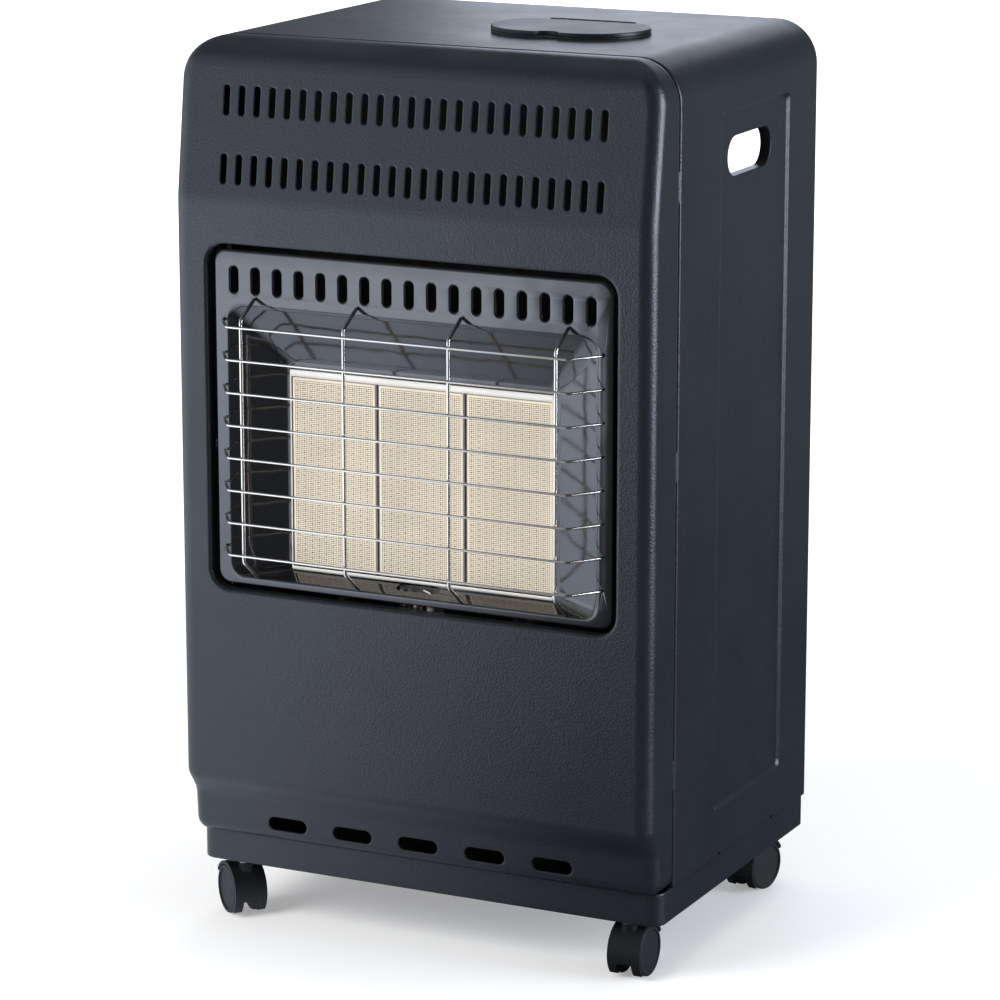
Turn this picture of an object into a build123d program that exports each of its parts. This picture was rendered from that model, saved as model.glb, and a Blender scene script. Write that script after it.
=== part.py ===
"""Portable gas cabinet heater: a sheet cabinet on casters with three ceramic burner plaques.

Units are millimetres and +Z is up. The pieces are drawn with y = 0 at the face of the front
cover and z = 0 on the floor, and moved at export so that the origin is under the middle.
"""
import os
from math import cos, radians, sin, tan

from build123d import *

# Drawing
overrun = 5.0
cut_margin = 1.0
match_gap = 0.05
weld_sink = 0.2
wedge_steps = 4
wedge_reach = 4.0

# Cabinet
width = 420.0
cabinet_depth = 330.0
height = 738.0
sheet = 1.2
corner_radius = 35.0
base_bottom = 50.0
skirt_height = 27.0
seam_depth = 46.4
seam_gap = 3.6
shell_fold_radius = 2.0
flange_width = 16.0
foot_cut = 9.0
foot_cut_radius = 2.0

# Front cover
lean_angle = 7.3
lean_height = 127.0
lean_bend_radius = 60.0
top_bend_radius = 26.0
top_fall_angle = 7.0
top_fall_length = 23.0
cover_edge_radius = 12.0
edge_round_margin = 8.0
cover_foot_radius = 14.0
step_top = 130.0
step_height = 18.0
step_depth = 13.0
band_lean = 2.5
underside_radius = 11.0
vent_count = 25
vent_pitch = 13.7
vent_width = 5.5
vent_height = 24.0
vent_drops = (48.5, 102.5)
slot_cut_depth = 36.0
band_slot_count = 5
band_slot_pitch = 60.0
band_slot_length = 35.5
band_slot_height = 11.5
band_slot_z = 93.0
window_width = 360.0
window_height = 284.0
window_drop = 162.5
window_radius = 17.0
window_lip_depth = 11.0
window_lip_thickness = 3.2
window_edge_radius = 2.8

# Reflector
reflector_sheet = 1.0
window_clearance = 4.5
reflector_face = 4.0
reflector_back = 23.0
dish_width = 325.0
dish_foot_gap = 11.5
dish_head_gap = 49.5
dish_radius = 10.0
dish_floor_width = 242.0
dish_floor_rise = 2.0
dish_floor_drop = 44.0
drawn_slot_count = 17
drawn_slot_pitch = 19.63
drawn_slot_width = 6.5
drawn_slot_height = 21.0
drawn_slot_drop = 28.8
plaque_hole_radius = 1.0
pilot_opening_length = 38.0
pilot_opening_depth = 11.6

# Burners
plaque_width = 74.6
plaque_height = 155.5
plaque_rise = 7.5
plaque_gap = 3.5
plaque_thickness = 12.0
plaque_fit = 0.5
plaque_count = 3
burner_ledge = 3.0
burner_strip = 6.0
burner_strip_thickness = 1.0
burner_side_strip = 1.5
burner_frame_lap = 0.6
burner_depth = 26.0
burner_wall = 1.0
venturi_radius = 9.0
venturi_wall = 1.0
venturi_length = 46.0
manifold_radius = 6.0
manifold_wall = 1.2
manifold_end_wall = 2.0
manifold_drop = 64.0
manifold_overhang = 18.0
manifold_ear_drop = 14.0
manifold_ear_lap = 6.0
manifold_ear_weld = 8.0
manifold_ear_gap = 0.4
manifold_socket = 4.0
injector_radius = 3.5
injector_spigot_radius = 2.5
jet_radius = 0.6
injector_gap = 5.0

# Guard
guard_reach = 22.0
thin_wire = 2.2
thick_wire = 3.0
guard_rows = 8
guard_row_pitch = 26.6
guard_rise = 24.2
guard_columns = 4
guard_column_pitch = 92.0
guard_half_width = 150.0
guard_end_spread = 17.0
guard_top_rise = 13.0
guard_bottom_fall = 17.0
guard_overrun = 6.0
guard_standoff = 1.5
guard_bend_radius = 5.0
hook_length = 6.0
hook_bend_radius = 2.5
hook_clearance = 0.5

# Bulkhead and heat shield
bulkhead_side_gap = 6.0
bulkhead_corner = 20.0
bulkhead_drop = 22.0
burner_clearance = 3.0
burner_opening_radius = 6.0
wing_inset = 5.5
wing_rise = 42.0
wing_drop = 26.0
wing_foot = 6.0
shield_half_width = 140.0
shield_fall = 96.5
shield_rise = 32.0
shield_depth = 42.0
shield_flange = 12.0
shield_radius = 10.0
shield_rim_radius = 6.0
feed_hole_clearance = 1.0
screw_radius = 1.9
screw_head_radius = 3.6
screw_head_height = 2.2
screw_head_round = 1.3
screw_length = 7.0
screw_inset = 11.0
screw_low = 140.0
screw_middle = 400.0
screw_drop = 56.0
tab_low = 170.0
tab_middle = 420.0
tab_drop = 98.0
tab_height = 24.0
tab_reach = 14.0

# Base
base_front = 26.3
base_sheet = 1.5
base_corner_radius = 12.0
base_upstand = 16.0
notch_length = 7.0
notch_height = 2.4
notch_places = (141.0, 251.0)
notch_cut = 2.0
upstand_front_gap = 1.0
upstand_rear_gap = 4.0
upstand_lap = 2.0
stand_length = 300.0
stand_depth = 200.0
stand_centre = 200.0
stand_rise = 3.0
stand_radius = 14.0
stand_edge_radius = 1.2

# Side reliefs and handles
relief_front = 130.0
relief_rear = 270.0
relief_bottom = 117.5
relief_drop = 51.0
relief_depth = 2.0
relief_draft = 2.5
relief_radius = 6.0
handle_centre = 191.0
handle_drop = 89.0
handle_length = 88.0
handle_height = 32.0
handle_lip_depth = 9.0
handle_lip_thickness = 2.6
handle_lip_radius = 2.3
handle_cut_depth = 30.0

# Rear cover
cover_gap = 0.8
rear_cover_bottom = 80.0
rear_cover_drop = 178.0
rear_cover_side_gap = 6.0
rear_cover_radius = 8.0
rear_vent_count = 7
rear_vent_pitch = 46.0
rear_vent_length = 32.0
rear_vent_height = 6.0
rear_vent_rise = 50.0
rear_vent_drop = 44.0
rear_vent_row_pitch = 16.0
rear_flange_inset = 9.5
hook_width = 14.0
hook_drop = 9.0
hook_rise = 70.0
hook_top_gap = 80.0
hook_fit = 0.15
hook_back_gap = 0.3
lift_travel = 12.0

# Controls
control_x = 62.0
control_depth = 168.0
lid_length = 132.0
lid_width = 92.0
bezel_thickness = 1.6
lid_axis_rise = 1.0
lid_rear_gap = 3.0
lid_gap = 0.3
lid_thickness = 3.2
lid_edge_radius = 0.8
hinge_setback = 38.0
pin_radius = 1.0
hinge_fit = 0.05
knuckle_radius = 2.2
knuckle_width = 9.0
knuckle_spacing = 48.0
knuckle_drop = 0.4
ear_width = 2.4
side_fit = 0.4
lid_sweep = 4.3
ear_radius = 2.0
ear_seat = 0.4
pocket_half = 3.2
notch_half_length = 10.5
notch_reach = 7.0
cup_inner_length = 100.0
cup_inner_width = 60.0
cup_wall = 2.0
cup_depth = 36.0
panel_clearance = 0.6
knob_offset = -18.0
knob_radius = 19.0
knob_height = 19.0
knob_edge_radius = 1.5
knob_grip_width = 9.0
knob_grip_height = 9.0
knob_grip_inset = 2.0
knob_grip_radius = 3.0
knob_travel = 4.5
knob_spare = 1.0
spindle_radius = 4.0
spindle_flat = 1.2
spindle_fit = 0.08
spindle_seat = 14.0
spindle_depth = 9.0
button_offset = 31.0
button_radius = 7.0
button_rise = 9.0
button_travel = 6.0
button_spare = 0.5
button_edge_radius = 1.2
button_stem_radius = 4.0
button_fit = 0.3
button_stem_depth = 12.0

# Gas valve and piping
valve_width = 36.0
valve_depth = 32.0
valve_height = 40.0
valve_gap = 3.0
valve_plate = 1.5
valve_corner_radius = 4.0
port_rise = 12.0
plug_radius = 8.0
plug_length = 22.0
plug_fit = 0.05
plug_setback = 3.0
plug_chamfer = 1.0
pipe_radius = 4.0
pilot_pipe_radius = 2.0
lead_radius = 1.6
nozzle_radius = 4.6
nozzle_length = 26.0
nozzle_tip = 8.0
nozzle_bore = 2.6
nozzle_barb = 0.5
nozzle_ribs = 4
nozzle_rib_start = 0.2
nozzle_rib_share = 0.5
nozzle_rib_taper = 8.0
nozzle_sides = 6
nozzle_seat_inset = 1.0
nozzle_hex = 8.5
nozzle_hex_length = 7.0
piezo_radius = 9.0
piezo_length = 42.0
port_depth = 5.0
outlet_offset = 8.0
feed_gap = 4.0
feed_y = 72.0
feed_turn_x = 112.0
feed_bend = 14.0
feed_low_bend = 12.0
feed_end_bend = 10.0
lead_y = 34.0
lead_back_y = 84.0
lead_fall = 49.0
thermocouple_fall = 57.0
lead_bend = 7.0
lead_side_inset = 22.0
lead_drop = 14.0
lead_turn_drop = 34.0
lead_hole_clearance = 1.0
pilot_pipe_side_inset = 32.0
pilot_pipe_turn_x = 4.0
thermocouple_turn_x = 14.0
thermocouple_offset = 6.0
thermocouple_drop = 47.0
pilot_pipe_drop = 63.0
bracket_gap = 4.0
bracket_foot = 14.0

# Pilot group
pilot_setback = 17.0
pilot_tube_radius = 4.5
pilot_tube_length = 34.0
pilot_clearance = 1.5
probe_offset = 11.0
probe_radius = 1.6
pilot_shelf_half = 20.0
pilot_shelf_rise = 8.0
pilot_shelf_lap = 6.0
pilot_cap = 3.0
pilot_mouth_height = 3.0
electrode_rise = 12.0
ceramic_length = 28.0
probe_tip_rise = 12.0
ceramic_radius = 3.0
ceramic_chamfer = 0.8
electrode_radius = 0.8
electrode_reach = 6.0
electrode_sink = 2.0
electrode_stand = 10.0
electrode_slope = 2.0
electrode_bend = 1.6

# Casters
wheel_radius = 20.5
wheel_width = 7.0
wheel_dish = 1.0
wheel_cap = 1.5
wheel_edge_radius = 1.2
wheel_rim = 3.0
caster_width = 28.0
web_side_gap = 0.4
hood_gap = 0.6
hood_thickness = 2.6
hood_back_angle = 30.0
hood_front_angle = 224.0
notch_front_angle = 196.0
hood_lap_angle = 1.0
caster_trail = 10.0
axle_radius = 2.5
axle_fit = 0.05
stem_radius = 4.0
stem_boss_radius = 6.4
stem_boss_top = 46.0
stem_collar_radius = 6.0
stem_collar_gap = 0.3
stem_top = 68.0
stem_bottom = 28.0
stem_fit = 0.06
socket_radius = 6.5
socket_height = 24.0
socket_flange_radius = 8.0
socket_flange = 1.6
caster_inset = 34.0
web_inset = 0.2
web_disc_share = 0.62
stem_foot = 4.0
stem_chamfer = 0.8
axle_end_gap = 0.3
caster_places = {
    "front_left": (-1, 42.0, 50.0),
    "front_right": (1, 42.0, 0.0),
    "rear_left": (-1, 286.0, 25.0),
    "rear_right": (1, 286.0, -12.0),
}

# Worked out from the sizes above
half = width / 2
lean_start = height - lean_height
vent_rows = [height - drop for drop in vent_drops]
window_top = height - window_drop
window_bottom = window_top - window_height
dish_bottom = window_bottom + dish_foot_gap
dish_top = window_top - dish_head_gap
dish_floor_bottom = dish_bottom + dish_floor_rise
dish_floor_top = dish_top - dish_floor_drop
drawn_slot_z = window_top - drawn_slot_drop
plaque_bottom = dish_floor_bottom + plaque_rise
guard_bottom_row = dish_bottom + guard_rise
bulkhead_half_width = half - bulkhead_side_gap
bulkhead_top = height - bulkhead_drop
wing_x = window_width / 2 - window_clearance - wing_inset
wing_bottom = dish_bottom + wing_rise
wing_top = dish_top - wing_drop
screw_x = half - screw_inset
screw_levels = (screw_low, screw_middle, bulkhead_top - screw_drop)
tab_levels = (tab_low, tab_middle, height - tab_drop)
relief_top = height - relief_drop
handle_z = height - handle_drop
rear_cover_top = height - rear_cover_drop
rear_cover_half_width = half - rear_cover_side_gap
rear_vent_low = rear_cover_bottom + rear_vent_rise
rear_vent_high = rear_cover_top - rear_vent_drop
rear_vent_levels = (rear_vent_low, rear_vent_low + rear_vent_row_pitch,
                    rear_vent_high - rear_vent_row_pitch, rear_vent_high)
hook_levels = (rear_cover_bottom + hook_rise, rear_cover_top - hook_top_gap)
feed_x = shield_half_width + shield_flange + feed_gap + pipe_radius
lead_low = dish_bottom - lead_fall
thermocouple_low = dish_bottom - thermocouple_fall
lead_side_x = half - lead_side_inset
pilot_pipe_side_x = half - pilot_pipe_side_inset
caster_x = half - caster_inset
cabinet_front = seam_depth + seam_gap
skirt_top = base_bottom + skirt_height
guard_face = -guard_reach - thin_wire / 2
shift_y = -(cabinet_depth + guard_face) / 2
lid_axis_y = control_depth + hinge_setback
lid_bottom = height + bezel_thickness + lid_gap
lid_top = lid_bottom + lid_thickness
lid_axis_z = height + bezel_thickness + lid_axis_rise
cup_floor_top = height - cup_depth
cup_floor_bottom = cup_floor_top - cup_wall
knob_x = control_x + knob_offset
button_x = control_x + button_offset
knob_bottom = cup_floor_top + knob_travel + knob_spare
valve_top = cup_floor_bottom - valve_gap
valve_bottom = valve_top - valve_height
plaque_top = plaque_bottom + plaque_height
shield_bottom = plaque_bottom - shield_fall
shield_top = plaque_top + shield_rise
burner_row_width = plaque_count * plaque_width + (plaque_count - 1) * plaque_gap
plaque_centres = [(i - (plaque_count - 1) / 2) * (plaque_width + plaque_gap) for i in range(plaque_count)]
plaque_back = reflector_back + plaque_thickness
burner_back = plaque_back + burner_depth
bulkhead_front = cabinet_front + sheet
bulkhead_back = bulkhead_front + sheet
shield_back = bulkhead_back + shield_depth
manifold_z = plaque_bottom - manifold_drop
burner_axis_y = plaque_back + burner_depth / 2
guard_top_row = guard_bottom_row + (guard_rows - 1) * guard_row_pitch
rear_plane = cabinet_depth - sheet - cover_gap
rear_flange_front = rear_plane - sheet
base_floor = base_bottom + base_sheet
stand_top = base_floor + stand_rise
socket_low = base_bottom - socket_flange
port_z = valve_bottom + port_rise
thermocouple_z = port_z - thermocouple_drop
pilot_pipe_z = port_z - pilot_pipe_drop
outlet_x = knob_x + outlet_offset
thermocouple_y = control_depth + thermocouple_offset
pilot_y = control_depth - thermocouple_offset
plug_top = valve_top - plug_setback
spindle_low = plug_top - spindle_depth
button_stem_low = cup_floor_bottom - button_stem_depth
piezo_bottom = cup_floor_bottom - piezo_length
electrode_low = lead_low + electrode_rise
pilot_top = dish_bottom - reflector_sheet - pilot_clearance
pilot_bottom = pilot_top - pilot_tube_length


def block(x0, x1, y0, y1, z0, z1):
    """Box between two corners."""
    size = Box(x1 - x0, y1 - y0, z1 - z0)
    return Pos((x0 + x1) / 2, (y0 + y1) / 2, (z0 + z1) / 2) * size


def rod(radius, start, end):
    """Round bar between two points."""
    start, end = Vector(*start), Vector(*end)
    plane = Plane(origin=start, z_dir=end - start)
    return extrude(plane * Circle(radius), (end - start).length)


def side_block(side, x0, x1, y0, y1, z0, z1):
    """Box between two distances from the middle, on the side given as -1 or 1."""
    near, far = side * x0, side * x1
    return block(min(near, far), max(near, far), y0, y1, z0, z1)


def front_shape(sketch, y0, y1):
    """Solid from a sketch drawn in x and z, reaching from y0 back to y1."""
    return Pos(0, y1, 0) * extrude(Plane.XZ * sketch, y1 - y0)


def front_rectangle(x0, x1, z0, z1, radius):
    """Rounded rectangle placed in a front-view sketch."""
    return Pos((x0 + x1) / 2, (z0 + z1) / 2) * RectangleRounded(x1 - x0, z1 - z0, radius)


def tube_path(points, radius):
    """Line through points with a rounded bend at each inner one."""
    return FilletPolyline(*points, radius=radius)


def bent_rod(points, wire_radius, bend_radius):
    """Round bar bent along points."""
    path = tube_path(points, bend_radius)
    section = Plane(origin=path @ 0, z_dir=path % 0) * Circle(wire_radius)
    return sweep(section, path=path)


def corner_fillets(face, corners):
    """Round the corners of a flat face; corners is a list of (point, radius)."""
    for point, radius in corners:
        nearest = min(face.vertices(), key=lambda v: (Vector(*v) - Vector(*point)).length)
        face = fillet(nearest, radius)
    return face


def round_topped_outline(inset, bottom):
    """Front view of the cabinet and its cover: square below, rounded above."""
    side, top = half - inset, height - inset
    points = [(-side, bottom), (side, bottom), (side, top), (-side, top)]
    face = make_face(Polyline(*points, close=True))
    radius = corner_radius - inset
    return corner_fillets(face, [((side, top, 0), radius), ((-side, top, 0), radius)])


# Front cover ------------------------------------------------------------------------------


def cover_side_profile(inset):
    """Side view of the cover, shrunk by inset on every wall except the open back."""
    slope, fall = tan(radians(lean_angle)), tan(radians(top_fall_angle))
    top = height - inset
    bottom = skirt_top + inset
    shift = inset / cos(radians(lean_angle))
    fall_back = lean_height * slope + top_fall_length + inset * tan(radians(top_fall_angle / 2))
    fall_front = (top - fall_back * fall - lean_start) * slope + shift
    fall_front = fall_front / (1 - fall * slope)
    step_low = step_top - step_height
    band_foot = step_depth + band_lean
    points = [
        (seam_depth, top),
        (fall_back, top),
        (fall_front, top - (fall_back - fall_front) * fall),
        (inset, lean_start),
        (inset, step_top),
        (step_depth + inset, step_low),
        (band_foot + inset, bottom),
        (seam_depth, bottom),
    ]
    face = Plane.YZ * make_face(Polyline(*points, close=True))
    rounds = [
        (points[2], top_bend_radius - inset),
        (points[3], lean_bend_radius - inset),
        (points[4], cover_foot_radius - inset),
        (points[5], cover_foot_radius + inset),
    ]
    return corner_fillets(face, [((0, y, z), r) for (y, z), r in rounds])


def cover_bulk(inset):
    """Solid bounded by the cover's faces moved in by inset."""
    side = extrude(cover_side_profile(inset), half, both=True)
    outline = front_shape(round_topped_outline(inset, skirt_top + inset), -cut_margin, seam_depth)
    bulk = round_front_edges(side & outline, cover_edge_radius - inset, inset)
    foot = bulk.faces().sort_by(Axis.Z)[0].edges()
    foot = [e for e in foot if e.center().Y < seam_depth - match_gap]
    return fillet(foot, underside_radius - inset)


def round_front_edges(bulk, radius, inset):
    """Round the edges between the front face and the side walls, round the upper corners too."""
    reach = seam_depth - edge_round_margin
    edges = []
    for edge in bulk.edges():
        middle = edge.center()
        size = edge.bounding_box().size
        on_side = abs(abs(middle.X) - (half - inset)) < match_gap
        if on_side and middle.Y < reach and size.X < match_gap and size.Z > match_gap:
            edges.append(edge)
    return fillet(edges, radius)


def vent_cutters():
    """Two rows of upright slots through the leaning face."""
    cutters = []
    start = -(vent_count - 1) / 2 * vent_pitch
    for row in vent_rows:
        for i in range(vent_count):
            place = Pos(start + i * vent_pitch, row) * Rot(0, 0, 90)
            slot = place * SlotOverall(vent_height, vent_width)
            cutters.append(front_shape(slot, -overrun, slot_cut_depth))
    return cutters


def band_cutters():
    """The row of level slots in the lower band."""
    cutters = []
    start = -(band_slot_count - 1) / 2 * band_slot_pitch
    for i in range(band_slot_count):
        place = Pos(start + i * band_slot_pitch, band_slot_z)
        slot = place * SlotOverall(band_slot_length, band_slot_height)
        cutters.append(front_shape(slot, -overrun, slot_cut_depth))
    return cutters


def window_sketch(grow):
    """The window in the cover, grown on every side."""
    side = window_width / 2 + grow
    return front_rectangle(-side, side, window_bottom - grow, window_top + grow, window_radius + grow)


def front_cover():
    shell = cover_bulk(0) - cover_bulk(sheet)
    lip = front_shape(window_sketch(window_lip_thickness), 0, window_lip_depth)
    shell = shell + lip - front_shape(window_sketch(0), -overrun, window_lip_depth + overrun)
    mouth = [e for e in shell.edges() if e.bounding_box().max.Y < match_gap]
    mouth = [e for e in mouth if abs(e.center().X) < window_width / 2 + match_gap]
    low, high = window_bottom - match_gap, window_top + match_gap
    mouth = [e for e in mouth if low < e.center().Z < high]
    shell = fillet(mouth, window_edge_radius)
    return shell - vent_cutters() - band_cutters()


# Cabinet shell ----------------------------------------------------------------------------


def shell_outline(inset):
    """Front view of the cabinet shell, open below."""
    return round_topped_outline(inset, skirt_top)


def relief_block(side, grow, depth):
    """Shallow pressed panel in one side, with sloping edges."""
    y_mid, z_mid = (relief_front + relief_rear) / 2, (relief_bottom + relief_top) / 2
    long, tall = relief_rear - relief_front, relief_top - relief_bottom
    outer = RectangleRounded(long + 2 * grow, tall + 2 * grow, relief_radius + grow)
    shrink = relief_draft * 2
    inner = RectangleRounded(long + 2 * grow - shrink, tall + 2 * grow - shrink, relief_radius + grow)
    mouth = Plane(origin=(side * half, y_mid, z_mid), x_dir=(0, 1, 0), z_dir=(-side, 0, 0))
    floor = Plane(origin=(side * (half - depth), y_mid, z_mid), x_dir=(0, 1, 0), z_dir=(-side, 0, 0))
    return loft([mouth * outer, floor * inner])


def side_slot(side, grow, x0, x1):
    """Handle-shaped solid between two distances from the middle."""
    origin = (side * x0, handle_centre, handle_z)
    plane = Plane(origin=origin, x_dir=(0, 1, 0), z_dir=(side, 0, 0))
    outline = SlotOverall(handle_length + 2 * grow, handle_height + 2 * grow)
    return extrude(plane * outline, x1 - x0)


def handle_lip(side):
    """Turned-in rim round the handle cut-out, rounded where the fingers pull."""
    face = half - relief_depth
    rim = side_slot(side, handle_lip_thickness, face - handle_lip_depth, face)
    rim = rim - side_slot(side, 0, face - handle_lip_depth - cut_margin, face + cut_margin)
    limit = handle_height / 2 + match_gap
    mouth = [e for e in rim.edges() if abs(abs(e.center().X) - face) < match_gap]
    mouth = [e for e in mouth if e.bounding_box().max.Z < handle_z + limit]
    mouth = [e for e in mouth if e.bounding_box().min.Z > handle_z - limit]
    return fillet(mouth, handle_lip_radius)


def cup_outline(grow):
    """Plan of the control cup, rounded at both ends."""
    return SlotOverall(cup_inner_length + 2 * grow, cup_inner_width + 2 * grow)


def plan_shape(sketch, z0, z1, x=control_x, y=control_depth):
    """Solid from a plan sketch centred on the controls."""
    return Pos(x, y, z0) * extrude(sketch, z1 - z0)


def cabinet_flanges():
    """Turned-in edges round the front and rear openings."""
    inner_side = half - flange_width
    inner_top = height - flange_width
    pieces = []
    for y0 in (cabinet_front, rear_flange_front):
        ring = front_shape(shell_outline(sheet / 2), y0, y0 + sheet)
        opening = front_rectangle(-inner_side, inner_side, skirt_top - 2 * corner_radius,
                                  inner_top, corner_radius - flange_width)
        pieces.append(ring - front_shape(opening, y0 - cut_margin, y0 + sheet + cut_margin))
    return pieces


def cover_tabs():
    """Tongues that reach forward inside the front cover and hold it."""
    tabs = []
    for side in (-1, 1):
        for level in tab_levels:
            tabs.append(side_block(side, half - 2 * sheet, half - sheet, seam_depth - tab_reach,
                                   cabinet_front + sheet, level - tab_height / 2,
                                   level + tab_height / 2))
    return tabs


def screw_places():
    """Centres of the screws that hold the bulkhead, as (x, z)."""
    return [(side * screw_x, level) for side in (-1, 1) for level in screw_levels]


def screw_holes():
    """Clearance-free holes for the bulkhead screws."""
    start, end = cabinet_front - cut_margin, bulkhead_back + cut_margin
    return [rod(screw_radius, (x, start, z), (x, end, z)) for x, z in screw_places()]


def hook_windows():
    """Openings in the rear flange that take the rear cover's hooks."""
    cutters = []
    wide = hook_width / 2 + side_fit
    for side in (-1, 1):
        x = side * (rear_cover_half_width - rear_flange_inset)
        for level in hook_levels:
            top = level + sheet + lift_travel + side_fit
            cutters.append(block(x - wide, x + wide, rear_flange_front - cut_margin,
                                 rear_plane + cut_margin, level - hook_fit, top))
    return cutters


def side_notches():
    """Small notches in the lower edge of each side."""
    cutters = []
    for side in (-1, 1):
        for place in notch_places:
            cutters.append(side_block(side, half - notch_cut, half + notch_cut,
                                      place - notch_length / 2, place + notch_length / 2,
                                      skirt_top - cut_margin, skirt_top + notch_height))
    return cutters


def round_front_fold(shell):
    """Round the fold between the shell's outside and its front flange."""
    fold = []
    for edge in shell.faces().sort_by(Axis.Y)[0].edges():
        box = edge.bounding_box()
        reaches_side = max(abs(box.min.X), abs(box.max.X)) > half - match_gap
        if (reaches_side or box.max.Z > height - match_gap) and box.max.Z > skirt_top + match_gap:
            fold.append(edge)
    return fillet(fold, shell_fold_radius)


def cabinet_shell():
    shell = front_shape(shell_outline(0), cabinet_front, rear_plane)
    front, rear = cabinet_front - cut_margin, rear_plane + cut_margin
    foot = front_rectangle(-half + sheet, half - sheet, skirt_top - foot_cut,
                           skirt_top + foot_cut, foot_cut_radius)
    cavity = front_shape(shell_outline(sheet), front, rear) + front_shape(foot, front, rear)
    for side in (-1, 1):
        shell = shell - relief_block(side, 0, relief_depth)
        cavity = cavity - relief_block(side, sheet, relief_depth + sheet)
    shell = shell - cavity
    for side in (-1, 1):
        shell = shell - side_slot(side, 0, half - handle_cut_depth, half + cut_margin)
        shell = shell + handle_lip(side)
    shell = round_front_fold(shell + cabinet_flanges()) + cover_tabs()
    cup_hole = cup_outline(cup_wall + panel_clearance)
    shell = shell - plan_shape(cup_hole, height - overrun, height + cut_margin)
    return shell - hook_windows() - screw_holes() - side_notches()


# Base, bulkhead and heat shield -----------------------------------------------------------


def base_outline(inset):
    """Plan of the base tray with rounded front corners."""
    side = half - sheet - inset
    front, rear = base_front + inset, rear_flange_front - inset
    points = [(-side, front), (side, front), (side, rear), (-side, rear)]
    face = make_face(Polyline(*points, close=True))
    radii = [base_corner_radius] * 2 + [base_sheet * 2] * 2
    return corner_fillets(face, [((x, y, 0), r - inset) for (x, y), r in zip(points, radii)])


def base_tray():
    tray = Pos(0, 0, base_bottom) * extrude(base_outline(0), skirt_height)
    tray = fillet(tray.faces().sort_by(Axis.Z)[0].edges(), base_sheet)
    tray = tray - Pos(0, 0, base_floor) * extrude(base_outline(base_sheet), skirt_height)
    for side in (-1, 1):
        tray = tray + side_block(side, half - sheet - base_sheet, half - sheet,
                                 bulkhead_back + upstand_front_gap,
                                 rear_flange_front - upstand_rear_gap,
                                 skirt_top - upstand_lap, skirt_top + base_upstand)
    for side, y, _ in caster_places.values():
        x = side * caster_x
        tray = tray - rod(socket_radius, (x, y, base_bottom - cut_margin),
                          (x, y, base_floor + cut_margin))
    hollow = stand_block(base_sheet, base_bottom - cut_margin, stand_top - base_sheet)
    return tray + bottle_stand() - hollow


def stand_block(inset, z0, z1):
    """Block under the bottle, drawn in by inset on every side."""
    outline = RectangleRounded(stand_length - 2 * inset, stand_depth - 2 * inset, stand_radius - inset)
    return plan_shape(outline, z0, z1, x=0, y=stand_centre)


def bottle_stand():
    """Raised field of the tray that the bottle stands on."""
    stand = stand_block(0, base_floor - weld_sink, stand_top)
    return fillet(stand.faces().sort_by(Axis.Z)[-1].edges(), stand_edge_radius)


def burner_opening():
    """Opening in the bulkhead for the burners and their manifold."""
    side = burner_row_width / 2 + burner_wall + burner_clearance
    low = manifold_z - manifold_radius - burner_clearance
    high = plaque_top + burner_wall + burner_clearance
    return front_rectangle(-side, side, low, high, burner_opening_radius)


def bulkhead_wings():
    """Side wings that reach forward and carry the reflector's flange."""
    wings = []
    back_of_flange = reflector_face + reflector_sheet
    for side in (-1, 1):
        wings.append(side_block(side, wing_x - sheet, wing_x, back_of_flange,
                                bulkhead_front + sheet / 2, wing_bottom, wing_top))
        wings.append(side_block(side, wing_x - wing_foot, wing_x, back_of_flange,
                                back_of_flange + sheet, wing_bottom, wing_top))
    return wings


def bulkhead():
    side = bulkhead_half_width
    plate = front_rectangle(-side, side, base_floor, bulkhead_top, bulkhead_corner)
    front, back = bulkhead_front - cut_margin, bulkhead_back + cut_margin
    wall = front_shape(plate, bulkhead_front, bulkhead_back) + bulkhead_wings()
    wall = wall - front_shape(burner_opening(), front, back)
    for x, z, radius in lead_holes():
        wall = wall - rod(radius, (x, front, z), (x, back, z))
    return wall - screw_holes()


def bulkhead_screws():
    screws = []
    top = cabinet_front - screw_head_height
    tip = cabinet_front + screw_length
    for x, z in screw_places():
        head = rod(screw_head_radius, (x, top, z), (x, cabinet_front, z))
        shank = rod(screw_radius, (x, cabinet_front - weld_sink, z), (x, tip, z))
        head = fillet(head.edges().sort_by(Axis.Y)[0], screw_head_round)
        screws.append(head + shank)
    return Compound(screws)


def heat_shield():
    side = shield_half_width
    rim_side = side + shield_flange
    outer = front_rectangle(-side, side, shield_bottom, shield_top, shield_radius)
    rim = front_rectangle(-rim_side, rim_side, shield_bottom - shield_flange,
                          shield_top + shield_flange, shield_rim_radius)
    inner = front_rectangle(-side + sheet, side - sheet, shield_bottom + sheet,
                            shield_top - sheet, shield_radius - sheet)
    pan = front_shape(outer, bulkhead_back, shield_back)
    pan = pan + front_shape(rim, bulkhead_back, bulkhead_back + sheet)
    pan = pan - front_shape(inner, bulkhead_back - cut_margin, shield_back - sheet)
    start, end = (side - overrun, feed_y, manifold_z), (side + overrun, feed_y, manifold_z)
    return pan - rod(pipe_radius + feed_hole_clearance, start, end)


# Reflector and guard ----------------------------------------------------------------------


def dish(grow):
    """Tapered hollow of the reflector, from its mouth back to the burners."""
    side = dish_width / 2 + grow
    mouth = front_rectangle(-side, side, dish_bottom - grow, dish_top + grow, dish_radius + grow)
    side = dish_floor_width / 2 + grow
    floor = front_rectangle(-side, side, dish_floor_bottom - grow, dish_floor_top + grow,
                            dish_radius / 2 + grow)
    near = Pos(0, reflector_face, 0) * (Plane.XZ * mouth)
    far = Pos(0, reflector_back, 0) * (Plane.XZ * floor)
    return loft([near, far])


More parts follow.
